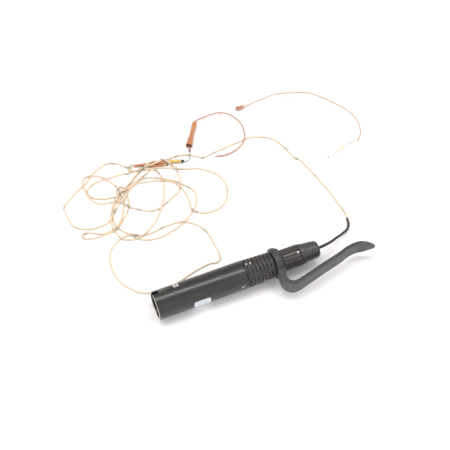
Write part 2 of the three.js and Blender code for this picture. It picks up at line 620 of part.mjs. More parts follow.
// ---- repaired joint ----
function addSleeve(parent, name, { from, to, radius }, finish) {
  const group = alignedGroup([...from, radius], [...to, radius]);
  const length = distance([...from, 0], [...to, 0]);
  const shell = turned([
    [0, JOINT_BORE], [0, radius - 0.2], [0.3, radius], [length - 0.3, radius], [length, radius - 0.2],
    [length, JOINT_BORE], [0, JOINT_BORE],
  ], SMALL_ROUND);
  group.add(piece(name, shell, finish));
  parent.add(group);
}

function addTip(parent, name, { from, to, radius, endRadius }, height) {
  const group = alignedGroup([...from, height], [...to, height]);
  const length = distance([...from, 0], [...to, 0]);
  const cone = turned([
    [0, 0], [0, radius], [0.4 * length, radius], [length, endRadius], [length, 0],
  ], SMALL_ROUND);
  group.add(piece(name, cone, finishes.relief));
  parent.add(group);
}

function addStraight(parent, name, { from, to, radius }, finish) {
  const group = alignedGroup(from, to);
  group.add(piece(name, rod(0, distance(from, to), radius, SMALL_ROUND), finish));
  parent.add(group);
}

function addRepairedJoint(parent) {
  addSleeve(parent, 'rear_shrink_sleeve', REAR_SLEEVE, finishes.shrink);
  addSleeve(parent, 'front_shrink_sleeve', FRONT_SLEEVE, finishes.shrink);
  addSleeve(parent, 'gold_barrel', BARREL, finishes.barrel);
  addTip(parent, 'barrel_tip', TIP, BARREL.radius);
  addSleeve(parent, 'front_barrel', FRONT_BARREL, finishes.barrel);
  addTip(parent, 'front_barrel_tip', FRONT_TIP, FRONT_BARREL.radius);
  parent.add(piece('thin_lead', tube(smoothPath(vectors(LEAD_ROUTE)), LEAD_RADIUS, 14), finishes.lead));
  addStraight(parent, 'lead_bead', BEAD, finishes.relief);
  addStraight(parent, 'inner_lead', INNER_LEAD, finishes.lead);
  parent.add(piece('green_wire_end', tube(smoothPath(vectors(GREEN_STUB)), STUB_RADIUS, 8), finishes.green));
  const whiteStub = tube(smoothPath(vectors(WHITE_STUB)), STUB_RADIUS, 6);
  parent.add(piece('white_wire_end', whiteStub, finishes.insulator));
}

// ---- ear hook ----
function addEarHook(parent) {
  const { mouth, top, mouthRadius, waist, topRadius } = EAR_SLEEVE;
  const group = alignedGroup(mouth, top);
  const length = distance(mouth, top);
  const sleeve = turned([
    [0, mouthRadius - 0.4], [0, mouthRadius], [3, mouthRadius - 0.2], [7, waist + 0.35], [12, waist],
    [length - 5, waist], [length - 4.6, topRadius], [length, topRadius], [length, EAR_WIRE_BORE],
    [6, EAR_WIRE_BORE], [2.5, mouthRadius - 0.6], [0, mouthRadius - 0.4],
  ], SMALL_ROUND);
  group.add(piece('ear_hook_sleeve', sleeve, finishes.shrink));
  parent.add(group);
  group.updateMatrixWorld();
  const inside = [length - EAR_WIRE_INSIDE, length - 1, length + 1.5];
  const start = inside.map((x) => group.localToWorld(new THREE.Vector3(x, 0, 0)));
  const wire = tube(smoothPath([...start, ...vectors(EAR_WIRE_ROUTE)]), EAR_WIRE_RADIUS, 34);
  parent.add(piece('ear_hook_wire', wire, finishes.earWire));
}

// ---- boom ----
function meshCap() {
  return turned([
    [0, 0], [0.1, MESH_CAP.radius - 0.5], [0.6, MESH_CAP.radius], [MESH_CAP.end, MESH_CAP.radius],
    [MESH_CAP.end, MESH_CAP.bore], [MESH_CAP.wall + 0.35, MESH_CAP.bore], [MESH_CAP.wall + 0.1, 0],
  ], SMALL_ROUND);
}

function capsuleHousing() {
  const { start, end, radius, bore } = CAPSULE;
  return turned([
    [start, bore - 0.4], [start, radius], [end, radius], [end, 0], [end - 0.4, 0], [end - 0.4, bore],
    [start + 0.3, bore], [start + 0.3, bore - 0.4], [start, bore - 0.4],
  ], SMALL_ROUND);
}

function capsuleNeck() {
  return turned([
    [CAPSULE.end + GAP, 0], [CAPSULE.end + GAP, NECK.radius], [CAPSULE.end + 1.2, NECK.radius],
    [NECK.end, NECK.endRadius], [NECK.end, 0],
  ], SMALL_ROUND);
}

function addBoom(parent) {
  const group = alignedGroup(CAPSULE_AT, CAPSULE_TO);
  const { start, end, bore } = CAPSULE;
  group.add(piece('mesh_cap', meshCap(), finishes.mesh));
  group.add(piece('capsule_housing', capsuleHousing(), finishes.brass));
  group.add(piece('capsule_diaphragm', rod(start + 0.6, start + 0.8, bore - GAP, SMALL_ROUND), finishes.brass));
  group.add(piece('capsule_backplate', rod(start + 1.1, start + 1.7, bore - GAP, SMALL_ROUND), finishes.steel));
  group.add(piece('capsule_amplifier', rod(start + 2, end - 0.7, bore - GAP, WIRE_SIDES), finishes.component));
  group.add(piece('capsule_neck', capsuleNeck(), finishes.boom));
  parent.add(group);
  group.updateMatrixWorld();
  const first = [NECK.end + GAP, NECK.end + 2].map((x) => group.localToWorld(new THREE.Vector3(x, 0, 0)));
  const [mouth, inward] = vectors(BOOM_SLEEVE_ROUTE);
  const axis = inward.clone().sub(mouth).normalize();
  const last = [-1, 0.5, BOOM_INSIDE].map((depth) => mouth.clone().addScaledVector(axis, depth));
  const route = smoothPath([...first, ...vectors(BOOM_ROUTE), ...last]);
  parent.add(piece('boom_tube', tube(route, BOOM_RADIUS, 44), finishes.boom));
  const { radius, bore: hole, sides, steps } = BOOM_SLEEVE;
  const sleeve = tube(smoothPath(vectors(BOOM_SLEEVE_ROUTE)), radius, steps, { sides, bore: hole });
  parent.add(piece('boom_sleeve', sleeve, finishes.ivory));
}

// ---- assembly ----
const headset = new THREE.Group();
const adapter = makeAdapter();
headset.add(adapter);
headset.add(piece('strain_relief', strainRelief(adapter), finishes.relief));
headset.add(piece('cable', cable(), finishes.cable));
addRepairedJoint(headset);
addEarHook(headset);
addBoom(headset);
headset.position.copy(ORIGIN).negate();

export default headset;
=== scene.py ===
"""The looks of a headset microphone that lies on a table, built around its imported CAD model.

Lengths are in millimetres until a mesh or a cord is made. Table points are the bench's own, and BENCH
moves them to the part's frame. Adapter points have X along the adapter, from its open rim to its cap.
"""

import json
import math

import bmesh
import bpy
import numpy as np
from mathutils import Matrix, Vector

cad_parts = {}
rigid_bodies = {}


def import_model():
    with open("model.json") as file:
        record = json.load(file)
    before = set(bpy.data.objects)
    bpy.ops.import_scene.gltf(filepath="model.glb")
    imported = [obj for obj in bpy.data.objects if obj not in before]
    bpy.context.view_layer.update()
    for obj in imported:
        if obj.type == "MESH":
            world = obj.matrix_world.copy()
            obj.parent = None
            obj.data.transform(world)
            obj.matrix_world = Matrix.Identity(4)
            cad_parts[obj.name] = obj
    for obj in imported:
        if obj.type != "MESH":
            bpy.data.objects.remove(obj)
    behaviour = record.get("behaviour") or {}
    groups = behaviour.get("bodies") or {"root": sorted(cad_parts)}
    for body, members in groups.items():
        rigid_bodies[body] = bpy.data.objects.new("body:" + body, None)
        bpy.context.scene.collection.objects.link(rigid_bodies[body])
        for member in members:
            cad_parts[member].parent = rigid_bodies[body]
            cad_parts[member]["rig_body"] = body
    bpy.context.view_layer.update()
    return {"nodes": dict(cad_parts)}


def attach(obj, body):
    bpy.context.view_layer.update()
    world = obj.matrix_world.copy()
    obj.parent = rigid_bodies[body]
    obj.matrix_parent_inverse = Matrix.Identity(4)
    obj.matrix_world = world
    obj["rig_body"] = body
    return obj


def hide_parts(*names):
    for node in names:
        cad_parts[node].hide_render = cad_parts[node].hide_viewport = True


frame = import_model()

# ---- where things are ----
MM = 0.001
ORIGIN = Vector((25.45, 18.34, 0.0))
BENCH = Matrix.Translation(-ORIGIN * MM)

VIEW_ELEVATION = 57.0
VIEW_DISTANCE = 723.0
LENS = 84.64
FLOOR_HALF = 1400.0

# ---- adapter ----
ADAPTER_AT = (-44.9, -68.1)
ADAPTER_YAW = 22.0
SHELL_RADIUS = 9.5
SHELL_BORE = 8.1
SHELL_END = 61.8
NECK_RADIUS = 7.6
NECK_BORE = 4.9
CLIP_SEAT_RADIUS = 6.0
NECK_END = 88.3
GAP = 0.3
RING_START, RING_SHOULDER, RING_END, RING_RADIUS, RING_END_RADIUS = 82.3, 85.3, 88.0, 10.3, 8.8
KEY_ANGLE = 120.0
KEYWAY_WIDTH, KEYWAY_LENGTH = 3.4, 4.0
WINDOW_START, WINDOW_END, WINDOW_WIDTH, WINDOW_ANGLE = 15.3, 17.3, 2.6, 123.0
SCREW_X, SCREW_HOLE = 21.0, 1.5
INSERT_START, INSERT_END, INSERT_RADIUS = 15.5, 26.0, 7.8
PIN_CIRCLE, PIN_RADIUS, PIN_TIP, PIN_TAIL = 3.9, 1.2, 3.0, 30.0
PIN_TURNS = (90, 270, 180)  # from the keyway, in the order of the pins' numbers
GRIP_START, GRIP_RIBS, GRIP_COUNT, GRIP_PITCH, GRIP_GROOVE = 62.1, 63.5, 7, 2.6, 0.75
GRIP_RADIUS, GRIP_END_RADIUS = 9.4, 8.6
LAND_ANGLE, LAND_HALF = 42.0, 1.5
NUT_START, NUT_LIP, NUT_END, NUT_RADIUS, NUT_BORE = 88.6, 97.6, 100.8, 7.3, 4.9
NUT_FLUTES, FLUTE_DEPTH = 18, 0.9
PLUG_HOLE, CABLE_HOLE = 3.6, 1.3
CAP_START, CAP_STEP, CAP_WALL, CAP_END, CAP_RADIUS = 101.1, 103.8, 110.2, 114.8, 7.0
LABEL_START, LABEL_END, LABEL_FROM, LABEL_TO = 23.6, 35.0, -65.0, 19.0
LABEL_THICKNESS, LABEL_CORNER = 0.12, 1.3

CLIP_ARM = [
    (85.1, -7.6), (84, -13), (84.6, -17.6), (87.4, -20.4), (91.5, -20.7), (100, -18.6), (112, -15.4),
    (124, -12.4), (132, -9.9), (138.5, -9.3), (143.5, -10.3), (147.5, -11.7), (150.5, -13.2),
]
CLIP_ARM_HALF = [2, 2, 2, 1.8, 1.6, 1.6, 1.6, 1.55, 1.5, 1.45, 1.4, 1.3, 0.9]
CLIP_HALF_WIDTH = 5.7
CLIP_TONGUE = 9.0  # the arm's last stretch, which narrows to its rounded tip

RELIEF_RADIUS = 0.95
RELIEF_INSIDE = (111, 116)  # where it runs inside the cap and comes out of it
RELIEF_ROUTE = [
    (69.7, -19.6, 8.7), (75.2, -13.4, 5.2), (79.6, -8.3, 2.4), (83.1, -4.2, 1.3), (84.3, 0, 1.1),
    (83.7, 4.7, 1.1),
]

# ---- cable: routed on the table, from the relief to the repaired joint ----
CABLE_RADIUS = 0.6
CABLE_SIDES = 12
CABLE_EXIT = (83.7, 4.7, 1.1)
CABLE_ROUTE = [
    # from the adapter, past the ear hook, to the knot
    (83.6, 5.1), (82.2, 10), (77, 20), (68.5, 34), (59.5, 46.5), (53.5, 54.5), (50.5, 56), (48, 59),
    (42.5, 66), (36, 72.5), (26.5, 75.5), (17.5, 74.5), (7, 69.5), (-3, 64), (-8.5, 61), (-12.5, 58.9),
    (-16.4, 56.6), (-20.8, 58), (-27, 59.5), (-35, 58), (-39.5, 56), (-44.5, 53), (-51.5, 49.8),
    (-55, 48.8), (-58.5, 46), (-62, 42), (-66, 36), (-72, 24), (-74, 15), (-77.5, 5.5), (-82, 0),
    (-90, -3.5), (-99, -3.5), (-104, -0.5), (-109, 8), (-111, 14), (-108, 20.5), (-98, 34), (-92, 44),
    (-84.5, 51), (-77, 51.5), (-71.5, 48.8), (-68.4, 47.8), (-66.7, 46.8), (-66.1, 45.2), (-66.9, 43.6),
    (-68.6, 42.9), (-71, 42.5), (-74, 41.7), (-82, 38.5), (-92, 34), (-96, 28), (-94, 23.5), (-86, 21),
    (-78, 22.5), (-74.5, 24),
    # the two big rings right of the knot, and the long loop in front of them
    (-72.5, 28), (-66, 32.5), (-60, 37.5), (-54, 39.5), (-44, 38.5), (-34, 36), (-26, 31.5), (-21, 27),
    (-19.5, 20), (-22, 11), (-29, 1), (-38, -7), (-49, -12), (-56, -12), (-64.5, -8.5), (-70, -11),
    (-75, -17), (-77, -26), (-75.5, -34.5), (-69, -45), (-59, -52), (-50, -53.5), (-40, -50.5),
    (-29, -44), (-18, -35.5), (-10, -31), (-5.6, -30.2), (-3.2, -27.8), (-3.9, -24.2), (-7.5, -14.5),
    (-14, -4), (-22, 1), (-30, 2), (-40, -1), (-48, -6), (-56, -8.5), (-65, -7.5), (-72.5, -3), (-77, 7),
    (-76, 17), (-74, 23),
    # round the knot, the hairpin on the left and the upper left loop
    (-75.9, 28), (-74.6, 30.6), (-72, 31.2), (-69.8, 29.2), (-67.5, 23), (-66.4, 15), (-69, 5),
    (-73.5, -3.5), (-81, -8), (-87.5, -10.9), (-91.5, -11.7), (-94, -11.8), (-95.8, -11.1), (-96.5, -9.4),
    (-95.8, -7.7), (-94, -7), (-90, -7), (-82, -7.5), (-75.5, -4), (-71.5, 2), (-70, 12), (-70.5, 21),
    (-74, 28.5), (-80.5, 36), (-88, 40), (-96, 40.3), (-100, 36.5), (-98.5, 30), (-93, 20.5), (-85, 17),
    (-78, 18.5), (-72.5, 18.5), (-69, 16.7),
    # the ring that passes under the repaired joint, and the one that turns round below it
    (-65.5, 14.5), (-60, 12.5), (-53, 11), (-45, 13.5), (-37, 22), (-32.5, 27), (-31.5, 35.5),
    (-34.5, 46.5), (-37, 49.5), (-42.5, 52.8), (-49.5, 53), (-56, 49), (-63.5, 39.5), (-70.5, 28.5),
    (-76, 20), (-78, 9.5), (-77, -0.5), (-74, -7), (-68.5, -12), (-60, -11.5), (-53, -6), (-46.5, 5),
    (-43.5, 16), (-42.5, 28.5), (-44, 38), (-47.5, 44.5), (-49.6, 46.2), (-52, 46), (-57.5, 40.5),
    (-65.5, 31.5), (-72.5, 25.5), (-75.4, 22.4), (-75.2, 19.9), (-73.6, 18.3), (-71.4, 18.3), (-69.8, 20),
    (-68.6, 25),
    # out to the right, and back round into the repaired joint
    (-61.5, 34), (-54, 36), (-44, 36.7), (-36, 35), (-30, 30), (-25, 20), (-22.8, 12), (-20.5, 10.8),
    (-14, 9.5), (-5, 13), (0.5, 19), (1.7, 27), (-1, 37), (-7, 43), (-15, 46.5), (-20, 47.3), (-31, 46.9),
    (-39, 47.6), (-46, 47.9), (-53, 46.9), (-58.5, 46.1), (-62.5, 44.9), (-66, 44.6), (-67.7, 45.3),
    (-68.4, 47), (-67.7, 48.6), (-66, 49.3), (-63.6, 49.3),
]
CABLE_STEP = 0.6  # between the points that are settled
STRAND_GAP = 0.06
SETTLE_ROUNDS = 500
WOBBLE = 0.22  # how far the cable strays from its route in small waves
PULL_BACK = 0.35  # how strongly each round pulls it back to its route, and smooths it
SIDEWAYS = 0.4  # how readily strands that touch give way sideways instead of upwards
DROP_HEIGHT = 26.0  # the cable is let down from a slope this high, its last stretch from the top
# Worn and dirty places on the cable: where, how far they reach, and how dark they are.
WORN_PLACES = [
    (-80, 51.5, 3, 0.8), (-84.5, 49.5, 2, 0.5), (-69, 48, 3, 0.55), (-69, 43.5, 3, 0.6),
    (-94.5, 33.5, 3, 0.5), (-97, 39, 2, 0.4), (-111, 13.5, 3, 0.4), (-101, -3.5, 3, 0.4),
    (-94.5, -9, 3, 0.75), (-49, 45, 2.2, 0.9), (-47, 42.5, 1.8, 0.7), (-43.5, 37, 1.5, 0.4),
    (-59, 12.5, 2.5, 0.7), (-49.5, 11, 2, 0.35), (-80.5, 7, 3, 0.5), (-73, -4.5, 3, 0.7),
    (-61.5, -8.5, 3.5, 0.8), (-43, -4, 3, 0.8), (-37.5, 19.5, 2, 0.4), (-40, 17, 3, 0.6),
    (-25.5, 30.5, 2.5, 0.65), (-22.5, 11.5, 1.6, 0.6), (-19.5, 10, 1.8, 0.7), (1, 28.5, 2.5, 0.4),
    (-4.5, -26, 3, 0.35), (-14.5, -6, 3.5, 0.75), (-68.5, 26.5, 1, 0.7), (-75, 10, 3.5, 0.75),
    (-74, 28.5, 1.4, 0.75), (-73, 25, 1.1, 0.85), (-76.5, 31, 1.8, 0.75), (-71, 19.5, 1, 0.6),
    (-66.5, 14.5, 2, 0.7), (-67, 11, 1.5, 0.5), (-58, 46.5, 1.8, 0.85), (-60.5, 44, 1.6, 0.8),
    (-57, 41, 3, 0.75), (-48, 39, 2, 0.45), (-51, 35, 0.8, 0.8), (-42.5, 54.5, 2.2, 0.8),
    (-44.5, 53, 1.5, 0.6), (-35, 57.5, 2.2, 0.7), (-37, 50, 1.8, 0.5), (-33, 45.5, 2.5, 0.5),
    (-30.5, 47, 2.5, 0.6), (-26.5, 59.5, 3, 0.3), (-16, 56, 2.4, 0.8), (-8.5, 61, 2, 0.5),
    (28, 75, 2.5, 0.4), (43.5, 64.5, 2.5, 0.45), (51, 56, 2, 0.85), (64, 41, 2.5, 0.4),
    (81.5, 12.5, 2.5, 0.45), (83, 9.5, 2, 0.45), (-30.5, 30.5, 1.2, 0.4), (-70.5, 29, 1, 0.6),
    (-20.5, 58, 3, 0.3),
]

# ---- repaired joint in the cable ----
REAR_SLEEVE = ((-64.1, 49.2), (-42, 52.55), 1.1)
FRONT_SLEEVE = ((-53.4, 48.55), (-43.6, 50.1), 0.85)
BARREL = ((-41.2, 52.65), (-31.3, 53.2), 1.3)
TIP = ((-31, 53.2), (-28.9, 53.3), 1.2)
FRONT_BARREL = ((-43.2, 50.15), (-41.6, 50.35), 0.7)
FRONT_TIP = ((-41.3, 50.4), (-40.3, 50.5), 0.6)
JOINT_BORE = 0.4
LEAD_RADIUS = 0.35
LEAD_ROUTE = [
    (-28.6, 53.3, 1.3), (-27.3, 53.6, 0.9), (-25.8, 55, 0.5), (-25.2, 57.4, 0.4), (-25, 60, 0.45),
    (-25.1, 61.2, 0.8),
]
BEAD = ((-25.1, 61.6, 1), (-25.4, 64, 1.9), 0.75)
INNER_LEAD = [(-25.45, 64.4, 2), (-25.7, 67, 2.1), (-25.9, 69.6, 2.3)]
STUB_RADIUS = 0.25
GREEN_STUB = [(-64.4, 49.4, 1.4), (-65.4, 49.3, 1.4), (-66.3, 49.9, 1.2), (-66.8, 50.9, 1.05)]
WHITE_STUB = [(-64.4, 48.8, 1), (-65.5, 48.5, 0.9), (-66.4, 47.9, 0.85), (-66.8, 47, 0.8)]

# ---- ear hook ----
EAR_MOUTH, EAR_TOP = (-25.8, 65.9, 2.45), (-22, 87.3, 1.9)
EAR_MOUTH_RADIUS, EAR_WAIST, EAR_TOP_RADIUS = 2.4, 1.55, 1.75
EAR_WIRE_RADIUS, EAR_WIRE_BORE, EAR_WIRE_INSIDE = 0.5, 0.8, 5.0
EAR_WIRE_ROUTE = [
    (-15.8, 92.2, 2), (-9.7, 95.2, 2.1), (-3, 96.4, 2.2), (2.2, 95.3, 2.2), (7.5, 91.5, 2.3),
    (11.6, 86.2, 2.4), (13.7, 79.8, 2.4), (14.2, 74.6, 2.3), (13.4, 70.2, 2.1), (10.6, 65.8, 1.7),
    (5.3, 61.4, 1.2), (-0.2, 58.9, 0.8), (-7.4, 57.9, 0.55),
]

# ---- boom ----
BOOM_RADIUS = 0.5
BOOM_ROUTE = [
    (22.5, 106.7, 2.5), (28.6, 109.2, 3.2), (34.6, 111.6, 4), (40.6, 112.8, 4.6), (49, 112.9, 5.2),
    (58, 112.4, 6), (64.6, 110.6, 6.5), (71.8, 106.5, 7), (80.2, 101, 7.3), (88, 95.6, 7),
    (92.8, 90.8, 6.5), (95.9, 85.4, 5.5), (97.5, 80.5, 4.2), (97.6, 76.6, 2.7),
]
BOOM_INSIDE = 3.0
BOOM_SLEEVE_RADIUS, BOOM_SLEEVE_BORE = 1.15, 0.8
BOOM_SLEEVE_ROUTE = [
    (94.6, 72.3, 1.25), (91.2, 71.05, 1.25), (87.4, 69.6, 1.25), (83.2, 65.2, 1.25), (77.8, 61.8, 1.25),
    (73.8, 57.1, 1.25),
]
GLUE_AT = 14.0  # along the ivory sleeve
GLUE_PLACE = (83.5, 65.5, 1.25)
CAPSULE_AT, CAPSULE_TO = (7.9, 100.4, 1.7), (15.7, 103.7, 1.9)
MESH_RADIUS, MESH_END, MESH_WIRE = 1.5, 4.8, 0.16
NECK_START, NECK_TO, NECK_BIG, NECK_SMALL = 5.9, 8.2, 1.25, 0.65


def bench_matrix(point):
    return BENCH @ Matrix.Translation(Vector(point) * MM)


def adapter_matrix():
    rise = math.asin((RING_RADIUS - SHELL_RADIUS) / RING_START)
    turn = Matrix.Rotation(math.radians(ADAPTER_YAW), 4, "Z") @ Matrix.Rotation(-rise, 4, "Y")
    return bench_matrix((*ADAPTER_AT, SHELL_RADIUS)) @ turn


ADAPTER = adapter_matrix()


def aligned_matrix(start, end):
    """A frame at start whose X axis points to end."""
    direction = Vector(end) - Vector(start)
    return bench_matrix(start) @ direction.to_track_quat("X", "Z").to_matrix().to_4x4()


def on_axis(matrix, *places):
    """Table points at distances along a frame's X axis."""
    to_bench = BENCH.inverted() @ matrix
    return [to_bench @ (Vector((x, 0, 0)) * MM) / MM for x in places]


def round_axis(angle):
    """The directions out from and round the X axis, at an angle from the front, over the top."""
    turn = math.radians(angle)
    return Vector((0, -math.cos(turn), math.sin(turn))), Vector((0, math.sin(turn), math.cos(turn)))


def clamp(value):
    return min(1.0, max(0.0, value))


def length_of(line):
    return sum((b - a).length for a, b in zip(line, line[1:]))


# ---- camera, light and floor ----
def make_camera():
    elevation = math.radians(VIEW_ELEVATION)
    back = Vector((0, -math.cos(elevation), math.sin(elevation)))
    data = bpy.data.cameras.new("camera")
    data.lens = LENS
    data.sensor_width = 36.0
    camera = bpy.data.objects.new("camera", data)
    camera.matrix_world = BENCH @ Matrix.Translation(back * VIEW_DISTANCE * MM) @ Matrix.Rotation(
        math.radians(90 - VIEW_ELEVATION), 4, "X"
    )
    bpy.context.scene.collection.objects.link(camera)
    bpy.context.scene.camera = camera


def make_area_light(name, place, aim, size, power):
    data = bpy.data.lights.new(name, "AREA")
    data.shape = "RECTANGLE"
    data.size, data.size_y = size
    data.energy = power
    light = bpy.data.objects.new(name, data)
    light.location = place
    light.rotation_euler = (Vector(aim) - Vector(place)).to_track_quat("-Z", "Y").to_euler()
    bpy.context.scene.collection.objects.link(light)


def make_world(strength):
    world = bpy.data.worlds.new("studio")
    world.use_nodes = True
    background = world.node_tree.nodes["Background"]
    background.inputs["Color"].default_value = (1.0, 0.985, 0.975, 1)
    background.inputs["Strength"].default_value = strength
    bpy.context.scene.world = world


# ---- meshes ----
def mesh_object(name, vertices, faces, matrix=BENCH, sharp=40.0):
    """An object from points in millimetres, smooth but for its sharp edges."""
    mesh = bpy.data.meshes.new(name)
    mesh.from_pydata([tuple(MM * c for c in v) for v in vertices], [], faces)
    build = bmesh.new()
    build.from_mesh(mesh)
    bmesh.ops.remove_doubles(build, verts=build.verts, dist=1e-7)
    bmesh.ops.recalc_face_normals(build, faces=build.faces)
    build.to_mesh(mesh)
    build.free()
    made = bpy.data.objects.new(name, mesh)
    made.matrix_world = matrix
    bpy.context.scene.collection.objects.link(made)
    shade(made, sharp)
    return made


def shade(made, sharp=40.0):
    made.data.shade_smooth()
    made.data.set_sharp_from_angle(angle=math.radians(sharp))


def loft(name, rings, matrix=BENCH, loop=False, sharp=40.0):
    """A surface through rings of points, with closed ends, or a loop back to the first ring."""
    count = len(rings[0])
    vertices = [point for ring in rings for point in ring]
    faces = []
    for i in range(len(rings) if loop else len(rings) - 1):
        here, there = i * count, ((i + 1) % len(rings)) * count
        for k in range(count):
            n = (k + 1) % count
            faces.append((here + k, here + n, there + n, there + k))
    if not loop:
        faces.append(tuple(range(count)))
        faces.append(tuple(range((len(rings) - 1) * count, len(rings) * count)))
    return mesh_object(name, vertices, faces, matrix, sharp)


def rounded(profile, radius=0.3, steps=4):
    """The line again, with its corners rounded."""
    points = [Vector(p) for p in profile]
    smooth = [points[0]]
    for before, corner, after in zip(points, points[1:], points[2:]):
        back, ahead = before - corner, after - corner
        cut = min(radius, 0.45 * back.length, 0.45 * ahead.length)
        start, end = corner + back.normalized() * cut, corner + ahead.normalized() * cut
        for k in range(steps + 1):
            t = k / steps
            smooth.append(start * (1 - t) ** 2 + corner * (2 * t * (1 - t)) + end * t ** 2)
    smooth.append(points[-1])
    return smooth


def lathe(name, profile, matrix=ADAPTER, sides=96, relief=None, sharp=40.0):
    """A body turned about X from [x, radius] points. A hollow profile ends where it starts.

    relief(x, radius, degrees) gives another radius where the body isn't round.
    """
    loop = (Vector(profile[0]) - Vector(profile[-1])).length < 1e-6
    line = profile[:-1] if loop else profile
    rings = []
    for x, radius in line:
        ring = []
        for k in range(sides):
            angle = 360.0 * k / sides
            r = max(1e-5, relief(x, radius, angle) if relief else radius)
            turn = math.radians(angle)
            ring.append((x, -r * math.cos(turn), r * math.sin(turn)))
        rings.append(ring)
    return loft(name, rings, matrix, loop, sharp)


def between(a, b, start, end, t):
    """The point at t on the way from a at start to b at end."""
    return a * ((end - t) / (end - start)) + b * ((t - start) / (end - start))


def smooth_line(points, step):
    """Points about step apart on the centripetal Catmull-Rom curve through the given ones."""
    knots = [Vector(p) for p in points]
    knots = [2 * knots[0] - knots[1], *knots, 2 * knots[-1] - knots[-2]]
    line = []
    for p0, p1, p2, p3 in zip(knots, knots[1:], knots[2:], knots[3:]):
        t1 = max((p1 - p0).length ** 0.5, 1e-4)
        t2 = t1 + max((p2 - p1).length ** 0.5, 1e-4)
        t3 = t2 + max((p3 - p2).length ** 0.5, 1e-4)
        count = max(1, round((p2 - p1).length / (step / 6)))
        for k in range(count):
            t = t1 + (t2 - t1) * k / count
            a1 = between(p0, p1, 0.0, t1, t)
            a2 = between(p1, p2, t1, t2, t)
            a3 = between(p2, p3, t2, t3, t)
            b1 = between(a1, a2, 0.0, t2, t)
            b2 = between(a2, a3, t1, t3, t)
            line.append(between(b1, b2, t1, t2, t))
    line.append(knots[-2])
    return spaced(line, step)


def spaced(line, step):
    """The line again, with its points about step apart."""
    points = np.array([tuple(p) for p in line])
    along = np.concatenate([[0], np.cumsum(np.linalg.norm(np.diff(points, axis=0), axis=1))])
    at = np.linspace(0, along[-1], max(2, round(along[-1] / step) + 1))
    axes = [np.interp(at, along, points[:, k]) for k in range(points.shape[1])]
    return [Vector(p) for p in np.stack(axes, axis=1)]


def sections(line, sides, radius_at):
    """Rings of points round a line; radius_at(distance, degrees) is the radius there."""
    rings = []
    across, distance = None, 0.0
    for i, point in enumerate(line):
        ahead = (line[min(i + 1, len(line) - 1)] - line[max(i - 1, 0)]).normalized()
        if across is None:
            across = ahead.orthogonal().normalized()
        else:
            distance += (point - line[i - 1]).length
            across = (across - ahead * across.dot(ahead)).normalized()
        up = ahead.cross(across)
        ring = []
        for k in range(sides):
            angle = 360.0 * k / sides
            turn = math.radians(angle)
            ring.append(point + (across * math.cos(turn) + up * math.sin(turn)) * radius_at(distance, angle))
        rings.append(ring)
    return rings


def tube(name, line, radius, sides=16, sharp=40.0):
    """A solid rod along a line; radius is a number or a function of distance and degrees."""
    radius_at = radius if callable(radius) else lambda distance, angle: radius
    return loft(name, sections(line, sides, radius_at), sharp=sharp)


def hollow_tube(name, line, radius_at, bore, sides=24):
    outside = sections(line, sides, radius_at)
    inside = sections(line, sides, lambda distance, angle: bore)
    return loft(name, outside + inside[::-1], loop=True)


def apply_modifiers(made):
    graph = bpy.context.evaluated_depsgraph_get()
    mesh = bpy.data.meshes.new_from_object(made.evaluated_get(graph))
    made.modifiers.clear()
    made.data = mesh


def combine(made, other, operation):
    """Cuts other out of made, or adds it, and removes other."""
    modifier = made.modifiers.new("combine", "BOOLEAN")
    modifier.operation = operation
    modifier.solver = "EXACT"
    modifier.object = other
    bpy.context.view_layer.update()
    apply_modifiers(made)
    bpy.data.objects.remove(other)
    return made


def block(name, low, high, angle):
    """A cutter on the adapter: x, across and radial limits at an angle."""
    out, side = round_axis(angle)
    rings = []
    for x in (low[0], high[0]):
        corners = [(low[1], low[2]), (high[1], low[2]), (high[1], high[2]), (low[1], high[2])]
        rings.append([Vector((x, 0, 0)) + side * across + out * radial for across, radial in corners])
    return loft(name, rings, ADAPTER)


def radial_rod(name, x, radius, inner, outer, angle):
    """A rod that stands on the adapter's axis."""
    out, side = round_axis(angle)
    turns = [2 * math.pi * k / 32 for k in range(32)]
    ring = [Vector((x + radius * math.cos(a), 0, 0)) + side * radius * math.sin(a) for a in turns]
    return loft(name, [[point + out * height for point in ring] for height in (inner, outer)], ADAPTER)


# ---- materials ----
def linear(hex_color):
    """A colour as #rrggbb, as the linear values that a shader takes."""
    values = [int(hex_color[i : i + 2], 16) / 255 for i in (1, 3, 5)]
    return (*[v / 12.92 if v <= 0.04045 else ((v + 0.055) / 1.055) ** 2.4 for v in values], 1.0)


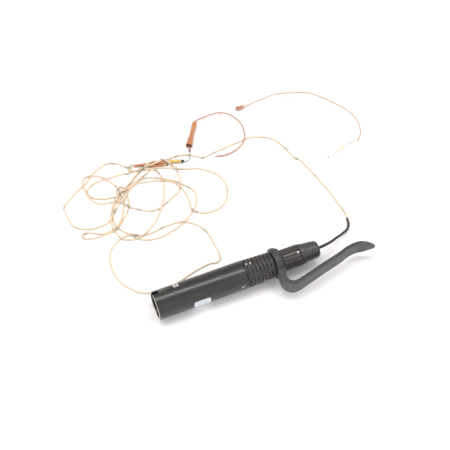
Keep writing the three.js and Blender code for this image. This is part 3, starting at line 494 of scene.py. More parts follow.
class Finish:
    """A material made of nodes, which work in millimetres of the piece's own space."""

    def __init__(self, name, roughness=0.5, metallic=0.0):
        self.material = bpy.data.materials.new(name)
        self.material.use_nodes = True
        self.tree = self.material.node_tree
        self.surface = self.tree.nodes["Principled BSDF"]
        self.surface.inputs["Roughness"].default_value = roughness
        self.surface.inputs["Metallic"].default_value = metallic
        place = self.add("TexCoord").outputs["Object"]
        scaled = self.add("VectorMath", {0: place, "Scale": 1000.0}, operation="SCALE")
        self.place = scaled.outputs[0]

    def add(self, kind, inputs=None, **settings):
        node = self.tree.nodes.new("ShaderNode" + kind)
        for name, value in settings.items():
            setattr(node, name, value)
        for name, value in (inputs or {}).items():
            self.connect(node.inputs[name], value)
        return node

    def connect(self, socket, value):
        """Gives a socket a link, a colour as #rrggbb or a plain value."""
        if isinstance(value, bpy.types.NodeSocket):
            self.tree.links.new(value, socket)
        else:
            socket.default_value = linear(value) if isinstance(value, str) else value

    def set(self, **values):
        """Sets or joins the shader's own inputs, with _ for a space."""
        for name, value in values.items():
            self.connect(self.surface.inputs[name.replace("_", " ")], value)
        return self

    def noise(self, size, detail=3.0, stretch=(1.0, 1.0, 1.0)):
        """Soft noise with features about size millimetres across."""
        inputs = {"Vector": self.vector("MULTIPLY", stretch)[0], "Scale": 1.0 / size, "Detail": detail}
        return self.add("TexNoise", inputs).outputs["Fac"]

    def range(self, value, start, end, low=0.0, high=1.0):
        inputs = {"Value": value, "From Min": start, "From Max": end, "To Min": low, "To Max": high}
        return self.add("MapRange", inputs).outputs["Result"]

    def patches(self, size, start=0.3, end=0.7, detail=4.0, stretch=(1.0, 1.0, 1.0)):
        return self.range(self.noise(size, detail, stretch), start, end)

    def math(self, operation, first, *others):
        for other in others or (0.0,):
            first = self.add("Math", {0: first, 1: other}, operation=operation).outputs[0]
        return first

    def mix(self, share, first, second):
        node = self.add("Mix", {"Factor": share}, data_type="RGBA")
        self.connect(node.inputs[6], first)
        self.connect(node.inputs[7], second)
        return node.outputs[2]

    def colour(self, share, first, second):
        self.set(Base_Color=self.mix(share, first, second))

    def bump(self, height, depth):
        """Turns a height from 0 to 1 into relief, depth in millimetres."""
        inputs = {"Height": height, "Distance": depth * MM, "Strength": 1.0}
        self.set(Normal=self.add("Bump", inputs).outputs["Normal"])
        return self

    def axes(self):
        return self.add("SeparateXYZ", {"Vector": self.place}).outputs

    def vector(self, operation, other):
        return self.add("VectorMath", {0: self.place, 1: other}, operation=operation).outputs

    def from_axis(self):
        """The distance from the piece's X axis."""
        flat = self.vector("MULTIPLY", (0, 1, 1))[0]
        return self.add("VectorMath", {0: flat}, operation="LENGTH").outputs["Value"]

    def mark(self, x, angle, half_x, half_across, soft=0.25):
        """1 inside a small rectangle on the adapter's surface, and 0 outside it."""
        out, side = round_axis(angle)
        across = self.math("ABSOLUTE", self.vector("DOT_PRODUCT", side)["Value"])
        along = self.math("ABSOLUTE", self.math("SUBTRACT", self.axes()["X"], x))
        past = self.math("SUBTRACT", along, half_x), self.math("SUBTRACT", across, half_across)
        inside = self.range(self.math("MAXIMUM", *past), 0.0, soft, 1.0, 0.0)
        facing = self.math("GREATER_THAN", self.vector("DOT_PRODUCT", out)["Value"], 0.0)
        return self.math("MULTIPLY", inside, facing)


def speckled(name, dark, light, size, roughness, depth=0.02, metallic=0.0, stretch=(1, 1, 1)):
    """A surface with soft changes of colour and a fine relief: moulded plastic, rubber or paint."""
    finish = Finish(name, roughness, metallic)
    finish.colour(finish.patches(size, stretch=stretch), dark, light)
    finish.set(Roughness=finish.range(finish.noise(size / 3), 0.2, 0.8, roughness - 0.07, roughness + 0.07))
    return finish.bump(finish.noise(size / 12, 3.0, stretch), depth).material


def metal(name, dark, light, roughness=0.3):
    """Bare metal with fine scratches along the piece."""
    return speckled(name, dark, light, 1.5, roughness, 0.01, 1.0, (0.15, 1, 1))


def shell_paint():
    """Satin black paint on the turned shell, worn to bare metal round the latch window and at the rim."""
    finish = Finish("shell_paint")
    paint = finish.mix(finish.patches(9.0), "#201e1d", "#262423")
    middle = (WINDOW_START + WINDOW_END) / 2
    half_x, half_across = (WINDOW_END - WINDOW_START) / 2 + 0.5, WINDOW_WIDTH / 2 + 0.5
    window = finish.mark(middle, WINDOW_ANGLE, half_x, half_across, 0.3)
    nick = finish.mark(57.5, 9.0, 0.9, 0.12)
    scratches = finish.patches(0.5, 0.58, 0.66, 4.0, (0.35, 2.5, 2.5))
    scuff = finish.math("MULTIPLY", finish.mark(7.7, 118.0, 2.4, 1.2, 1.2), scratches, 0.6)
    rim = finish.range(finish.axes()["X"], 0.1, 0.3, 0.7, 0.0)
    outside = finish.range(finish.from_axis(), SHELL_BORE - 0.1, SHELL_BORE + 0.1)
    bare = finish.math("MULTIPLY", finish.math("MAXIMUM", window, rim, nick, scuff), outside)
    finish.colour(bare, paint, "#efe9df")
    rough = finish.range(finish.noise(4.0), 0.3, 0.7, 0.27, 0.33)
    finish.set(Roughness=finish.math("SUBTRACT", rough, finish.math("MULTIPLY", bare, 0.1)))
    finish.set(Metallic=finish.math("MULTIPLY", bare, 0.3), Specular_IOR_Level=0.6)
    return finish.bump(finish.noise(0.35, 4.0, (0.12, 1, 1)), 0.006).material


def grip_rubber():
    """The ribbed grip, with two bright nicks on its first ribs and one on its side."""
    finish = Finish("grip_rubber", 0.5)
    nicks = finish.math(
        "MAXIMUM",
        finish.mark(64.0, 101.5, 0.25, 0.55, 0.15),
        finish.mark(66.6, 100.0, 0.2, 0.75, 0.15),
        finish.mark(72.7, -2.0, 0.2, 0.2, 0.2),
    )
    finish.colour(nicks, finish.mix(finish.patches(5.0), "#2c2a28", "#373432"), "#f0ebe2")
    return finish.bump(finish.noise(0.4), 0.02).material


def nut_paint():
    """Satin black on the fluted nut, with one bare spot near its end."""
    finish = Finish("nut_paint", 0.4)
    spot = finish.mark(99.3, 77.0, 0.35, 0.35)
    finish.colour(spot, finish.mix(finish.patches(4.0), "#3a3836", "#494644"), "#fffaf0")
    return finish.bump(finish.noise(0.35), 0.012).material


def clip_plastic():
    """Moulded dark grey plastic, with painted shade on the arm's upper face, and rubbed along its upper
    edges.
    """
    finish = Finish("clip_plastic")
    height = finish.axes()["Z"]
    # painted shade: the band above 5.35 mm, the arm's upper face, is made darker for how light falls on it
    top = finish.range(height, 5.35, 5.6)
    edge = finish.math("SUBTRACT", finish.range(height, 4.7, 5.3), top)
    rubbed = finish.math("MULTIPLY", edge, finish.patches(2.2, 0.35, 0.62, 5.0, (0.4, 1, 1)))
    # the painted shade (#343331) goes over the upper face; the rest keeps the plastic's own grey
    base = finish.mix(top, finish.mix(finish.patches(7.0), "#484748", "#545354"), "#343331")
    finish.colour(rubbed, base, "#66625b")
    finish.set(Roughness=finish.range(finish.noise(1.5), 0.3, 0.7, 0.44, 0.58))
    return finish.bump(finish.noise(0.5, 4.0), 0.03).material


def cable_jacket():
    """Cream jacket, darkened with grey-green dirt where the cable has been bent and handled."""
    finish = Finish("cable_jacket", 0.42)
    wear = finish.add("Attribute", attribute_name="wear").outputs["Fac"]
    dirt = finish.math("MULTIPLY", wear, finish.range(finish.noise(2.2, 5.0), 0.35, 0.65, 0.55, 1.0))
    faint = finish.math("MULTIPLY", finish.patches(6.0, 0.55, 0.75, 5.0), 0.05)
    cream = finish.mix(finish.noise(14.0, 2.0), "#dfcbb3", "#d6bfa3")
    finish.colour(finish.math("ADD", dirt, faint), cream, "#74786a")
    return finish.bump(finish.noise(0.5, 4.0), 0.02).material


def heat_shrink():
    """Red-brown shrink sleeve with a dull gloss."""
    finish = Finish("heat_shrink", 0.3)
    finish.colour(finish.patches(1.6, 0.35, 0.65, 5.0, (0.4, 1, 1)), "#c88a5e", "#ab6c45")
    finish.set(Coat_Weight=0.3, Coat_Roughness=0.2)
    return finish.bump(finish.noise(0.8, 4.0), 0.06).material


def ear_sleeve_brown():
    """Copper-brown sleeve, darker towards its flared mouth."""
    finish = Finish("ear_sleeve_brown", 0.34)
    base = finish.mix(finish.range(finish.axes()["X"], 0.0, 12.0), "#a5633a", "#b8784e")
    finish.colour(finish.patches(1.0, 0.35, 0.7, 4.0, (0.2, 1, 1)), base, "#be855c")
    finish.set(Coat_Weight=0.3, Coat_Roughness=0.25)
    return finish.bump(finish.noise(0.7, 4.0), 0.03).material


def gold_lacquer():
    finish = Finish("gold_lacquer", 0.34, 0.55)
    finish.colour(finish.patches(1.2, 0.35, 0.68, 5.0), "#e3c47a", "#c79d54")
    return finish.bump(finish.noise(0.5, 4.0), 0.03).material


def ivory_tube():
    """Milky tubing with a yellowed patch of glue."""
    finish = Finish("ivory_tube", 0.3)
    glue = finish.range(finish.vector("DISTANCE", GLUE_PLACE)["Value"], 1.2, 3.4, 1.0, 0.0)
    finish.colour(glue, finish.mix(finish.noise(2.0, 4.0), "#eeede7", "#e7e4db"), "#e3d9b8")
    finish.set(Coat_Weight=0.3)
    return finish.bump(finish.noise(1.2), 0.03).material


def circuit_green():
    """Green board with pale copper tracks under its mask."""
    finish = Finish("circuit_green", 0.4)
    black, white = (0, 0, 0, 1), (1, 1, 1, 1)
    inputs = {"Vector": finish.place, "Scale": 0.5, "Color1": black, "Color2": black, "Mortar": white}
    tracks = finish.add("TexBrick", {**inputs, "Mortar Size": 0.03}).outputs["Color"]
    finish.colour(tracks, "#14512f", "#3f8a55")
    return finish.bump(tracks, 0.03).material


def floor_paper():
    finish = Finish("floor_paper", 0.85)
    finish.colour(finish.noise(60.0, 2.0), "#f6f4f4", "#f8f6f6")
    finish.set(Specular_IOR_Level=0.2)
    return finish.bump(finish.noise(0.6), 0.01).material


MATERIALS = {
    "shell": shell_paint(),
    "grip": grip_rubber(),
    "nut": nut_paint(),
    "clip": clip_plastic(),
    "cap": speckled("cap_paint", "#343232", "#413e3e", 5.0, 0.36, 0.012),
    "relief": speckled("relief_rubber", "#242221", "#34312f", 2.0, 0.5, 0.03),
    "cable": cable_jacket(),
    "shrink": heat_shrink(),
    "ear_sleeve": ear_sleeve_brown(),
    "gold": gold_lacquer(),
    "bead": speckled("bead_brown", "#7d5742", "#966d55", 1.0, 0.4),
    "tip": speckled("tip_plastic", "#1c1a19", "#2c2a28", 1.0, 0.35),
    "lead": speckled("lead_jacket", "#a6a39c", "#96938b", 1.5, 0.5),
    "green": speckled("green_jacket", "#3f9c69", "#2f7d52", 0.8, 0.45),
    "white": speckled("white_jacket", "#f3efe6", "#dcd7ca", 0.8, 0.45),
    "ear_wire": speckled("ear_wire_coating", "#ae7c68", "#be917c", 3.0, 0.36, 0.015),
    "boom": speckled("boom_coating", "#ba967f", "#c8a992", 4.0, 0.4, 0.015),
    "neck": speckled("neck_coating", "#f0cda8", "#e4bb90", 1.5, 0.42),
    "ivory": ivory_tube(),
    "mesh": speckled("mesh_metal", "#b98677", "#dcb1a2", 0.8, 0.4, 0.01, 0.5),
    "label": speckled("label_film", "#cfd5dc", "#c8ced6", 4.0, 0.5),
    "insert": speckled("insert_plastic", "#1a1a1b", "#262628", 3.0, 0.5),
    "board": circuit_green(),
    "component": speckled("component_plastic", "#202226", "#2c2e33", 1.0, 0.5),
    "capacitor": speckled("capacitor_sleeve", "#1f2f52", "#2b3d68", 1.5, 0.35),
    "contact": metal("gold_contact", "#c9b78a", "#e8dcb8", 0.25),
    "steel": metal("steel", "#9c9ca0", "#c4c4c6"),
    "brass": metal("brass", "#b58f45", "#d4b36a"),
    "copper": metal("copper", "#a7683a", "#c8835a", 0.35),
    "floor": floor_paper(),
}
CARRIED = {  # CAD nodes whose own shape stays, by look
    "steel": "insert_screw cable_clamp capsule_backplate",
    "contact": "ground_tag socket_contact plug_pin",
    "board": "circuit_board",
    "capacitor": "supply_capacitor_1 supply_capacitor_2",
    "component": "buffer_transistor_1 buffer_transistor_2 capsule_amplifier",
    "copper": "radio_choke_1 radio_choke_2 signal_lead ground_lead",
    "brass": "socket_body plug_body capsule_diaphragm",
    "white": "socket_insulator",
    "mesh": "capsule_housing",
}


def stand_for(made, node, look):
    """The piece takes its material, moves with the node's body and is shown in the node's place."""
    made.data.materials.clear()
    made.data.materials.append(MATERIALS[look])
    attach(made, frame["nodes"][node]["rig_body"])
    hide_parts(node)
    return made


# ---- cable ----
def joint_balls():
    """Round things that the cable lies over: x, y, z and radius of balls along the repaired joint."""
    balls = []
    for (x0, y0), (x1, y1), radius in (REAR_SLEEVE, FRONT_SLEEVE, BARREL, TIP, FRONT_BARREL, FRONT_TIP):
        for t in np.linspace(0, 1, 30):
            balls.append((x0 + (x1 - x0) * t, y0 + (y1 - y0) * t, radius, radius))
    balls += [(*point, LEAD_RADIUS) for point in smooth_line(LEAD_ROUTE, 0.6)]
    return np.array(balls)


def close_pairs(flat, other, reach, apart=0):
    """Index pairs of points that are near each other on the table, apart along the cable."""
    far = np.linalg.norm(flat[:, None, :] - other[None, :, :], axis=2)
    i, j = np.nonzero(far < reach)
    keep = (i - j) > apart if apart else np.full(len(i), True)
    return i[keep], j[keep]


def push_apart(points, i, j, others, clear, share):
    """How far points i move away from others j to be clear of them, and how many push each point."""
    gap = points[i] - others[j]
    far = np.maximum(np.linalg.norm(gap, axis=1), 1e-6)
    missing = np.maximum(clear - far, 0.0)
    shift = gap / far[:, None] * (missing * share)[:, None] * np.array([SIDEWAYS, SIDEWAYS, 1.0])
    moved, count = np.zeros_like(points), np.zeros(len(points))
    np.add.at(moved, i, shift)
    np.add.at(count, i, missing > 0)
    return moved, count


def settle(route):
    """Lets the cable down onto the table and onto itself, and pushes strands apart where they meet."""
    along = np.arange(len(route)) * CABLE_STEP
    target = np.array([tuple(p) for p in route])
    target[:, 0] += WOBBLE * np.sin(along / 3.1) * np.sin(along / 17.0)
    target[:, 1] += WOBBLE * np.cos(along / 2.7) * np.sin(along / 13.0)
    flat, count = target[:, :2], len(target)
    points = target.copy()
    points[:, 2] = CABLE_RADIUS + DROP_HEIGHT * np.arange(count) / count
    clear = 2 * CABLE_RADIUS + STRAND_GAP
    i, j = close_pairs(flat, flat, clear + 2.5, round(5 / CABLE_STEP))
    balls = joint_balls()
    inner = round(8 / CABLE_STEP)
    bi, bj = close_pairs(flat[:-inner], balls[:, :2], 2 * CABLE_RADIUS + 3.0)
    for turn in range(SETTLE_ROUNDS):
        points[:, 2] -= 0.09 if turn < SETTLE_ROUNDS * 0.8 else 0.02
        points[:, :2] += PULL_BACK * (flat - points[:, :2])
        for _ in range(2):
            up, many = push_apart(points, i, j, points, clear, 0.5)
            down, less = push_apart(points, j, i, points, clear, 0.5)
            off, some = push_apart(points, bi, bj, balls[:, :3], balls[bj, 3] + CABLE_RADIUS + 0.05, 1.0)
            points += (up + down + off) / np.maximum(many + less + some, 1.0)[:, None]
        shift = points - target
        shift[1:-1] += PULL_BACK * (0.5 * (shift[:-2] + shift[2:]) - shift[1:-1])
        points = shift + target
        points[:, 2] = np.maximum(points[:, 2], CABLE_RADIUS)
        points[0] = (*flat[0], CABLE_EXIT[2])
        points[-1] = (*flat[-1], REAR_SLEEVE[2])
    return [Vector(p) for p in points]


def wear_at(point):
    """How worn the cable is at a point."""
    near = [(dark, math.hypot(point.x - x, point.y - y) / reach) for x, y, reach, dark in WORN_PLACES]
    return max(dark * clamp(1.6 * (1 - far)) for dark, far in near)


def make_cable():
    line = settle(smooth_line([(x, y, 0.0) for x, y in CABLE_ROUTE], CABLE_STEP))
    made = tube("cable_jacket", line, CABLE_RADIUS, CABLE_SIDES, sharp=60.0)
    wear = np.repeat([wear_at(point) for point in line], CABLE_SIDES)
    made.data.attributes.new("wear", "FLOAT", "POINT").data.foreach_set("value", wear.astype(np.float32))
    return stand_for(made, "cable", "cable"), [BENCH @ (p * MM) for p in line]


# ---- adapter ----
def make_shell():
    profile = rounded([
        (0, SHELL_BORE + 0.3), (0, SHELL_RADIUS), (SHELL_END, SHELL_RADIUS), (SHELL_END, NECK_RADIUS),
        (RING_START - GAP, NECK_RADIUS), (RING_START - GAP, CLIP_SEAT_RADIUS), (NECK_END, CLIP_SEAT_RADIUS),
        (NECK_END, NECK_BORE), (SHELL_END - 1, NECK_BORE), (SHELL_END - 1, SHELL_BORE), (0.5, SHELL_BORE),
        (0, SHELL_BORE + 0.3),
    ], 0.28)
    shell = lathe("adapter_shell", profile, sides=128)
    key, window = KEYWAY_WIDTH / 2, WINDOW_WIDTH / 2
    for cutter in (
        block("keyway", (-1, -key, 5), (KEYWAY_LENGTH, key, 12), KEY_ANGLE),
        block("window", (WINDOW_START, -window, 7), (WINDOW_END, window, 12), WINDOW_ANGLE),
        radial_rod("hole", SCREW_X, SCREW_HOLE, 6, 12, KEY_ANGLE + 180),
    ):
        combine(shell, cutter, "DIFFERENCE")
    shade(shell, 30.0)
    stand_for(shell, "xlr_shell", "shell")


def pin_matrix(turn):
    return ADAPTER @ Matrix.Translation(round_axis(KEY_ANGLE + turn)[0] * PIN_CIRCLE * MM)


def make_insert():
    start, end, r = INSERT_START, INSERT_END, INSERT_RADIUS
    outline = rounded([(start, 0), (start, r), (end, r), (end, 0)], 0.4)
    insert = lathe("contact_insert_block", outline, sides=64)
    wide = PIN_RADIUS + GAP
    hole = [(start - 1, 0), (start - 1, wide), (end + 1, wide), (end + 1, 0)]
    cutters = [lathe("pin_hole", hole, pin_matrix(turn), 32) for turn in PIN_TURNS]
    cutters.append(radial_rod("hole", SCREW_X, SCREW_HOLE, r - 2, 9, KEY_ANGLE + 180))
    for cutter in cutters:
        combine(insert, cutter, "DIFFERENCE")
    shade(insert, 35.0)
    stand_for(insert, "contact_insert", "insert")
    profile = rounded([
        (PIN_TIP, 0), (PIN_TIP + 0.1, 0.6), (PIN_TIP + 1.2, PIN_RADIUS), (PIN_TAIL, PIN_RADIUS),
        (PIN_TAIL, 0),
    ], 0.35)
    for number, turn in enumerate(PIN_TURNS, 1):
        stand_for(lathe(f"pin_{number}", profile, pin_matrix(turn), 32), f"contact_pin_{number}", "contact")


def make_grip():
    """The grip: a smooth collar, then broad round ribs between narrow grooves, and a flat land along it."""
    end = GRIP_RIBS + GRIP_COUNT * GRIP_PITCH
    inner = NECK_RADIUS + GAP

    def cone(x):
        return GRIP_RADIUS + (GRIP_END_RADIUS - GRIP_RADIUS) * (x - GRIP_START) / (end - GRIP_START)

    def relief(x, radius, angle):
        if radius < inner + 0.01 or x < GRIP_RIBS - 0.2:
            return radius
        across = abs((angle - LAND_ANGLE + 180) % 360 - 180) * math.radians(1) * GRIP_RADIUS
        land = clamp((LAND_HALF + 0.4 - across) / 0.4)
        return radius * (1 - land) + (cone(x) - 0.04) * land

    profile = [
        (GRIP_START, inner), (GRIP_START, GRIP_RADIUS - 0.35), (GRIP_START + 0.2, GRIP_RADIUS - 0.12),
        (GRIP_RIBS - 0.3, cone(GRIP_RIBS) - 0.1),
    ]
    steps = 20
    for rib in range(GRIP_COUNT):
        for k in range(steps + 1):
            x = GRIP_RIBS + (rib + k / steps) * GRIP_PITCH
            from_groove = min(k, steps - k) / steps * GRIP_PITCH
            rise = clamp((from_groove - 0.26) / 0.5)
            crown = math.sqrt(1 - (1 - rise) ** 2) - 0.12 * (2 * k / steps - 1) ** 2
            profile.append((x, cone(x) - GRIP_GROOVE * (1 - max(0.0, crown))))
    profile += [(end, inner), (GRIP_START, inner)]
    stand_for(lathe("grip_rings", profile, sides=180, relief=relief), "grip_sleeve", "grip")


def make_clip():
    arm = smooth_line([(x, y, 0.0) for x, y in CLIP_ARM], 0.7)
    total, distance = length_of(arm), 0.0
    at = np.linspace(0, 1, len(CLIP_ARM_HALF))
    rings = []
    for i, point in enumerate(arm):
        distance += (point - arm[max(i - 1, 0)]).length
        ahead = (arm[min(i + 1, len(arm) - 1)] - arm[max(i - 1, 0)]).normalized()
        across = Vector((-ahead.y, ahead.x, 0))
        left = clamp((total - distance) / CLIP_TONGUE)
        width = CLIP_HALF_WIDTH * (0.06 + 0.94 * left ** 0.6)
        thick = float(np.interp(distance / total, at, CLIP_ARM_HALF))
        thick *= 0.3 + 0.7 * math.sqrt(clamp(2.5 * left))
        ring = []
        for k in range(40):
            turn = 2 * math.pi * k / 40
            flat, tall = (math.copysign(abs(c) ** 0.3, c) for c in (math.cos(turn), math.sin(turn)))
            ring.append(point + across * thick * flat + Vector((0, 0, width * tall)))
        rings.append(ring)
    clip = loft("belt_clip_arm", rings, ADAPTER)
    bore = CLIP_SEAT_RADIUS + GAP
    collar = lathe("collar", rounded([
        (RING_START, bore), (RING_START, RING_RADIUS), (RING_SHOULDER, RING_RADIUS),
        (RING_END, RING_END_RADIUS), (RING_END, bore), (RING_START, bore),
    ], 0.5))
    combine(clip, collar, "UNION")
    shade(clip, 38.0)
    stand_for(clip, "belt_clip", "clip")


def make_nut():
    def relief(x, radius, angle):
        if radius < NUT_BORE + 1:
            return radius
        valley = 0.5 - 0.5 * math.cos(math.radians(angle) * NUT_FLUTES)
        return radius - FLUTE_DEPTH * clamp((valley - 0.5) / 0.25) * clamp((x - NUT_START - 0.6) / 0.5)

    profile = rounded([
        (NUT_START, NUT_BORE), (NUT_START, NUT_RADIUS), (NUT_END, NUT_RADIUS), (NUT_END, PLUG_HOLE),
        (NUT_LIP, PLUG_HOLE), (NUT_LIP, NUT_BORE), (NUT_START, NUT_BORE),
    ], 0.35)
    line = []
    for before, after in zip(profile, profile[1:]):
        steps = max(1, round((after - before).length / 0.5))
        line += [before.lerp(after, k / steps) for k in range(steps)]
    line.append(profile[-1])
    stand_for(lathe("fluted_nut", line, sides=360, relief=relief, sharp=50.0), "lock_nut", "nut")


def make_cap():
    profile = rounded([
        (CAP_START, PLUG_HOLE), (CAP_START, CAP_RADIUS), (CAP_STEP, CAP_RADIUS),
        (CAP_STEP + 0.25, CAP_RADIUS - 0.4), (109, 6.15), (113.2, 5.7), (114.4, 4.9), (CAP_END, 3.4),
        (CAP_END, CABLE_HOLE), (CAP_WALL, CABLE_HOLE), (CAP_WALL, PLUG_HOLE), (CAP_START, PLUG_HOLE),
    ], 0.45)
    stand_for(lathe("cable_cap", profile), "end_cap", "cap")


def make_label():
    """A thin sticker with rounded corners that follows the shell."""
    inner = SHELL_RADIUS + 0.02
    across = math.radians(LABEL_TO - LABEL_FROM) * inner
    length = LABEL_END - LABEL_START
    rows, columns = 28, 40
    loops = []
    for i in range(rows + 1):
        x = length * i / rows
        rest = max(0.0, LABEL_CORNER - min(x, length - x))
        cut = LABEL_CORNER - math.sqrt(LABEL_CORNER ** 2 - rest ** 2)
        loop = []
        for radius, order in ((inner + LABEL_THICKNESS, range(columns + 1)), (inner, range(columns, -1, -1))):
            for k in order:
                angle = math.radians(LABEL_FROM) + (cut + (across - 2 * cut) * k / columns) / inner
                loop.append((LABEL_START + x, -radius * math.cos(angle), radius * math.sin(angle)))
        loops.append(loop)
    stand_for(loft("blank_sticker", loops, ADAPTER), "blank_label", "label")


def make_relief():
    """The sleeve that guards the cable: a spiral at the cap, then smooth, narrowing to its end."""
    line = smooth_line([*on_axis(ADAPTER, *RELIEF_INSIDE), *RELIEF_ROUTE], 0.12)

    def radius_at(distance, angle):
        wave = 0.5 + 0.5 * math.cos(2 * math.pi * (distance / 1.15) - math.radians(angle))
        smooth = RELIEF_RADIUS + 0.2 * max(0.0, 1 - distance / 26) - 0.12 * min(1.0, distance / 36)
        return smooth - 0.22 * clamp((24 - distance) / 3) * (1 - wave)

    stand_for(tube("spiral_relief", line, radius_at, 20), "strain_relief", "relief")


# ---- repaired joint, ear hook and boom ----
def make_sleeve(name, sleeve, node, look, lumps=0.1, rings=()):
    """A sleeve on the table, drawn in at its ends, with lumps from the wires in it or crimped rings."""
    start, end, radius = sleeve
    length = math.dist(start, end)
    drawn = min(0.35, 0.25 * radius)
    profile = [(0, JOINT_BORE), (0.0, radius - drawn)]
    for x in np.linspace(0.15, length - 0.15, 31):
        ends = min(1.0, x / 0.7, (length - x) / 0.7)
        waves = 0.04 * (1 - math.cos(x * 1.9)) * (lumps > 0)
        profile.append((x, radius - 0.7 * drawn * (1 - ends) ** 2 - waves))
    profile += [(length, radius - drawn), (length, JOINT_BORE), (0, JOINT_BORE)]

    def relief(x, r, angle):
        if r <= JOINT_BORE:
            return r
        groove = max([0.14 for place in rings if abs(x - place) < 0.3], default=0.0)
        return r - groove - lumps * 0.5 * (1 + math.sin(math.radians(angle * 2) + x * 0.7))

    matrix = aligned_matrix((*start, radius), (*end, radius))
    return stand_for(lathe(name, profile, matrix, 40, relief), node, look)


def make_tip(name, tip, height, node):
    """The black cone at a barrel's end."""
    start, end, radius = tip
    length = math.dist(start, end)
    cone = rounded([(0, 0), (0, radius), (0.4 * length, radius), (length, 0.5 * radius), (length, 0)], 0.3)
    return stand_for(lathe(name, cone, aligned_matrix((*start, height), (*end, height)), 32), node, "tip")


def make_joint():
    pieces = [
        make_sleeve("shrink_sleeve_rear", REAR_SLEEVE, "rear_shrink_sleeve", "shrink"),
        make_sleeve("shrink_sleeve_front", FRONT_SLEEVE, "front_shrink_sleeve", "shrink"),
        make_sleeve("crimped_barrel", BARREL, "gold_barrel", "gold", 0.0, (1.6, 8.4)),
        make_sleeve("crimped_barrel_front", FRONT_BARREL, "front_barrel", "gold", 0.0),
        make_tip("barrel_cone", TIP, BARREL[2], "barrel_tip"),
        make_tip("barrel_cone_front", FRONT_TIP, FRONT_BARREL[2], "front_barrel_tip"),
    ]
    lead = tube("thin_lead_jacket", smooth_line(LEAD_ROUTE, 0.3), LEAD_RADIUS)
    pieces.append(stand_for(lead, "thin_lead", "lead"))
    first, last, radius = BEAD
    length = math.dist(first, last)
    bead = rounded([(0, 0), (0, 0.5), (0.5, radius), (length - 0.5, radius), (length, 0.5), (length, 0)], 0.3)
    pieces.append(stand_for(lathe("lead_collar", bead, aligned_matrix(first, last), 24), "lead_bead", "bead"))
    inner = tube("inner_lead_jacket", smooth_line(INNER_LEAD, 0.4), LEAD_RADIUS)
    pieces.append(stand_for(inner, "inner_lead", "lead"))
    for colour, route in (("green", GREEN_STUB), ("white", WHITE_STUB)):
        wire = tube(f"{colour}_wire", smooth_line(route, 0.25), STUB_RADIUS, 12)
        pieces.append(stand_for(wire, f"{colour}_wire_end", colour))
    return pieces


def make_ear_hook():
    matrix = aligned_matrix(EAR_MOUTH, EAR_TOP)
    length = math.dist(EAR_MOUTH, EAR_TOP)
    outside = smooth_profile([
        (0.15, EAR_MOUTH_RADIUS), (3, EAR_MOUTH_RADIUS - 0.2), (7, EAR_WAIST + 0.35), (12, EAR_WAIST),
        (length - 5.2, EAR_WAIST),
    ])
    mouth = (0.15, EAR_MOUTH_RADIUS - 0.35)
    profile = [mouth, (0, EAR_MOUTH_RADIUS - 0.15), *outside]
    profile += rounded([
        (length - 5, EAR_WAIST), (length - 4.8, EAR_TOP_RADIUS), (length, EAR_TOP_RADIUS),
        (length, EAR_WIRE_BORE), (6, EAR_WIRE_BORE), (2.5, EAR_MOUTH_RADIUS - 0.6), mouth,
    ], 0.25)
    stand_for(lathe("ear_sleeve", profile, matrix, 48), "ear_hook_sleeve", "ear_sleeve")
    inside = on_axis(matrix, length - EAR_WIRE_INSIDE, length - 1, length + 1.5)
    line = smooth_line([*inside, *EAR_WIRE_ROUTE], 0.6)
    total = length_of(line)
    wire = tube("ear_wire", line, lambda distance, angle: rounded_end(EAR_WIRE_RADIUS, total - distance))
    stand_for(wire, "ear_hook_wire", "ear_wire")


def rounded_end(radius, left):
    """The radius of a rod that ends in half a ball, where so much of it is left."""
    return max(1e-3, math.sqrt(max(0.0, radius ** 2 - max(0.0, radius - left) ** 2)))


def smooth_profile(points):
    return [(p.x, p.y) for p in smooth_line([(x, r, 0.0) for x, r in points], 0.5)]


def make_mesh_cap():
    """The woven cap over the microphone: crossed wires on a cylinder with a domed front."""
    matrix = aligned_matrix(CAPSULE_AT, CAPSULE_TO)
    radius = MESH_RADIUS - MESH_WIRE / 2
    outline = smooth_profile([(0.1, 0.5), (0.22, 1.0), (0.7, radius), (2, radius), (MESH_END - 0.1, radius)])
    sides = 26
    vertices, faces = [], []
    for row, (x, r) in enumerate(outline):
        for k in range(sides):
            turn = 2 * math.pi * (k + 0.5 * (row % 2)) / sides
            vertices.append((x, -r * math.cos(turn), r * math.sin(turn)))
    for row in range(len(outline) - 2):
        here, middle, beyond = (sides * n for n in (row, row + 1, row + 2))
        for k in range(sides):
            low, high = (k + row % 2 - 1) % sides, (k + row % 2) % sides
            faces.append((here + k, middle + high, beyond + k, middle + low))
    vertices.append((0.08, 0, 0))
    tip = len(vertices) - 1
    faces += [(tip, k, (k + 1) % sides) for k in range(sides)]
    cap = mesh_object("woven_cap", vertices, faces, matrix)
    wires = cap.modifiers.new("wires", "WIREFRAME")
    wires.thickness = MESH_WIRE * MM
    apply_modifiers(cap)
    shade(cap, 60.0)
    start, bore = MESH_END - 0.5, MESH_RADIUS - MESH_WIRE
    band = [(start, bore), (start, MESH_RADIUS), (MESH_END, MESH_RADIUS), (MESH_END, bore), (start, bore)]
    join(cap, lathe("band", band, matrix, 48))
    stand_for(cap, "mesh_cap", "mesh")


def join(made, other):
    """Adds another object's mesh to made, in the same frame."""
    build = bmesh.new()
    build.from_mesh(made.data)
    build.from_mesh(other.data)
    build.to_mesh(made.data)
    build.free()
    bpy.data.objects.remove(other)


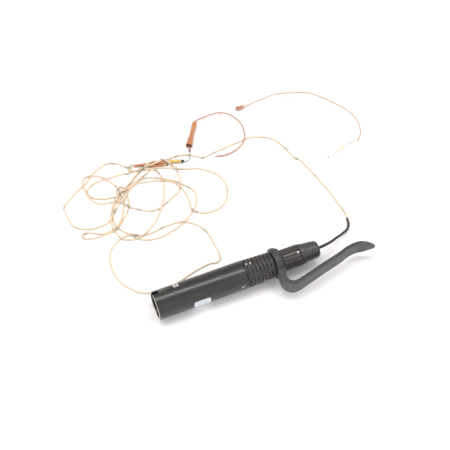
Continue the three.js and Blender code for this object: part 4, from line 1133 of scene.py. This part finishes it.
def make_boom():
    matrix = aligned_matrix(CAPSULE_AT, CAPSULE_TO)
    neck = rounded([
        (NECK_START, 0), (NECK_START, NECK_BIG), (NECK_START + 0.9, NECK_BIG), (NECK_TO, NECK_SMALL),
        (NECK_TO, 0),
    ], 0.3)
    stand_for(lathe("capsule_neck_cone", neck, matrix, 40), "capsule_neck", "neck")
    first = on_axis(matrix, NECK_TO + 0.05, NECK_TO + 2)
    mouth, inward = Vector(BOOM_SLEEVE_ROUTE[0]), Vector(BOOM_SLEEVE_ROUTE[1])
    last = [mouth + (inward - mouth).normalized() * depth for depth in (-1, 0.5, BOOM_INSIDE)]
    line = smooth_line([*first, *BOOM_ROUTE, *last], 0.7)
    stand_for(tube("boom_wire", line, BOOM_RADIUS), "boom_tube", "boom")

    def sleeve_radius(distance, angle):
        glue = math.exp(-(((distance - GLUE_AT) / 1.6) ** 2))
        return BOOM_SLEEVE_RADIUS * (1 + 0.06 * glue * math.cos(math.radians(2 * angle)))

    sleeve = smooth_line(BOOM_SLEEVE_ROUTE, 0.5)
    stand_for(hollow_tube("ivory_sleeve", sleeve, sleeve_radius, BOOM_SLEEVE_BORE), "boom_sleeve", "ivory")


def make_floor():
    corners = [(FLOOR_HALF * x, FLOOR_HALF * y, 0) for x, y in ((-1, -1), (1, -1), (1, 1), (-1, 1))]
    floor = mesh_object("floor", corners, [(0, 1, 2, 3)])
    floor.data.materials.append(MATERIALS["floor"])


def carry_nodes():
    for look, nodes in CARRIED.items():
        for node in nodes.split():
            frame["nodes"][node].material_slots[0].material = MATERIALS[look]


# ---- the scene ----
make_camera()
cable, cable_line = make_cable()
joint_pieces = make_joint()
for make_piece in (
    make_shell, make_insert, make_grip, make_clip, make_nut, make_cap, make_label, make_relief,
    make_ear_hook, make_mesh_cap, make_boom,
):
    make_piece()
carry_nodes()
make_floor()
make_world(0.65)
make_area_light("overhead", (0.0, 0.2, 1.1), (-0.02, 0.0, 0.0), (1.2, 0.12), 7.0)
make_area_light("left", (-1.15, -0.1, 0.9), (0.0, 0.0, 0.0), (1.2, 1.2), 5.0)
make_area_light("right", (1.15, -0.1, 0.9), (0.0, 0.0, 0.0), (1.2, 1.2), 5.0)
make_area_light("front", (0.0, -1.3, 0.8), (0.0, 0.0, 0.0), (3.0, 1.6), 8.0)
bpy.context.scene.view_settings.view_transform = "Standard"
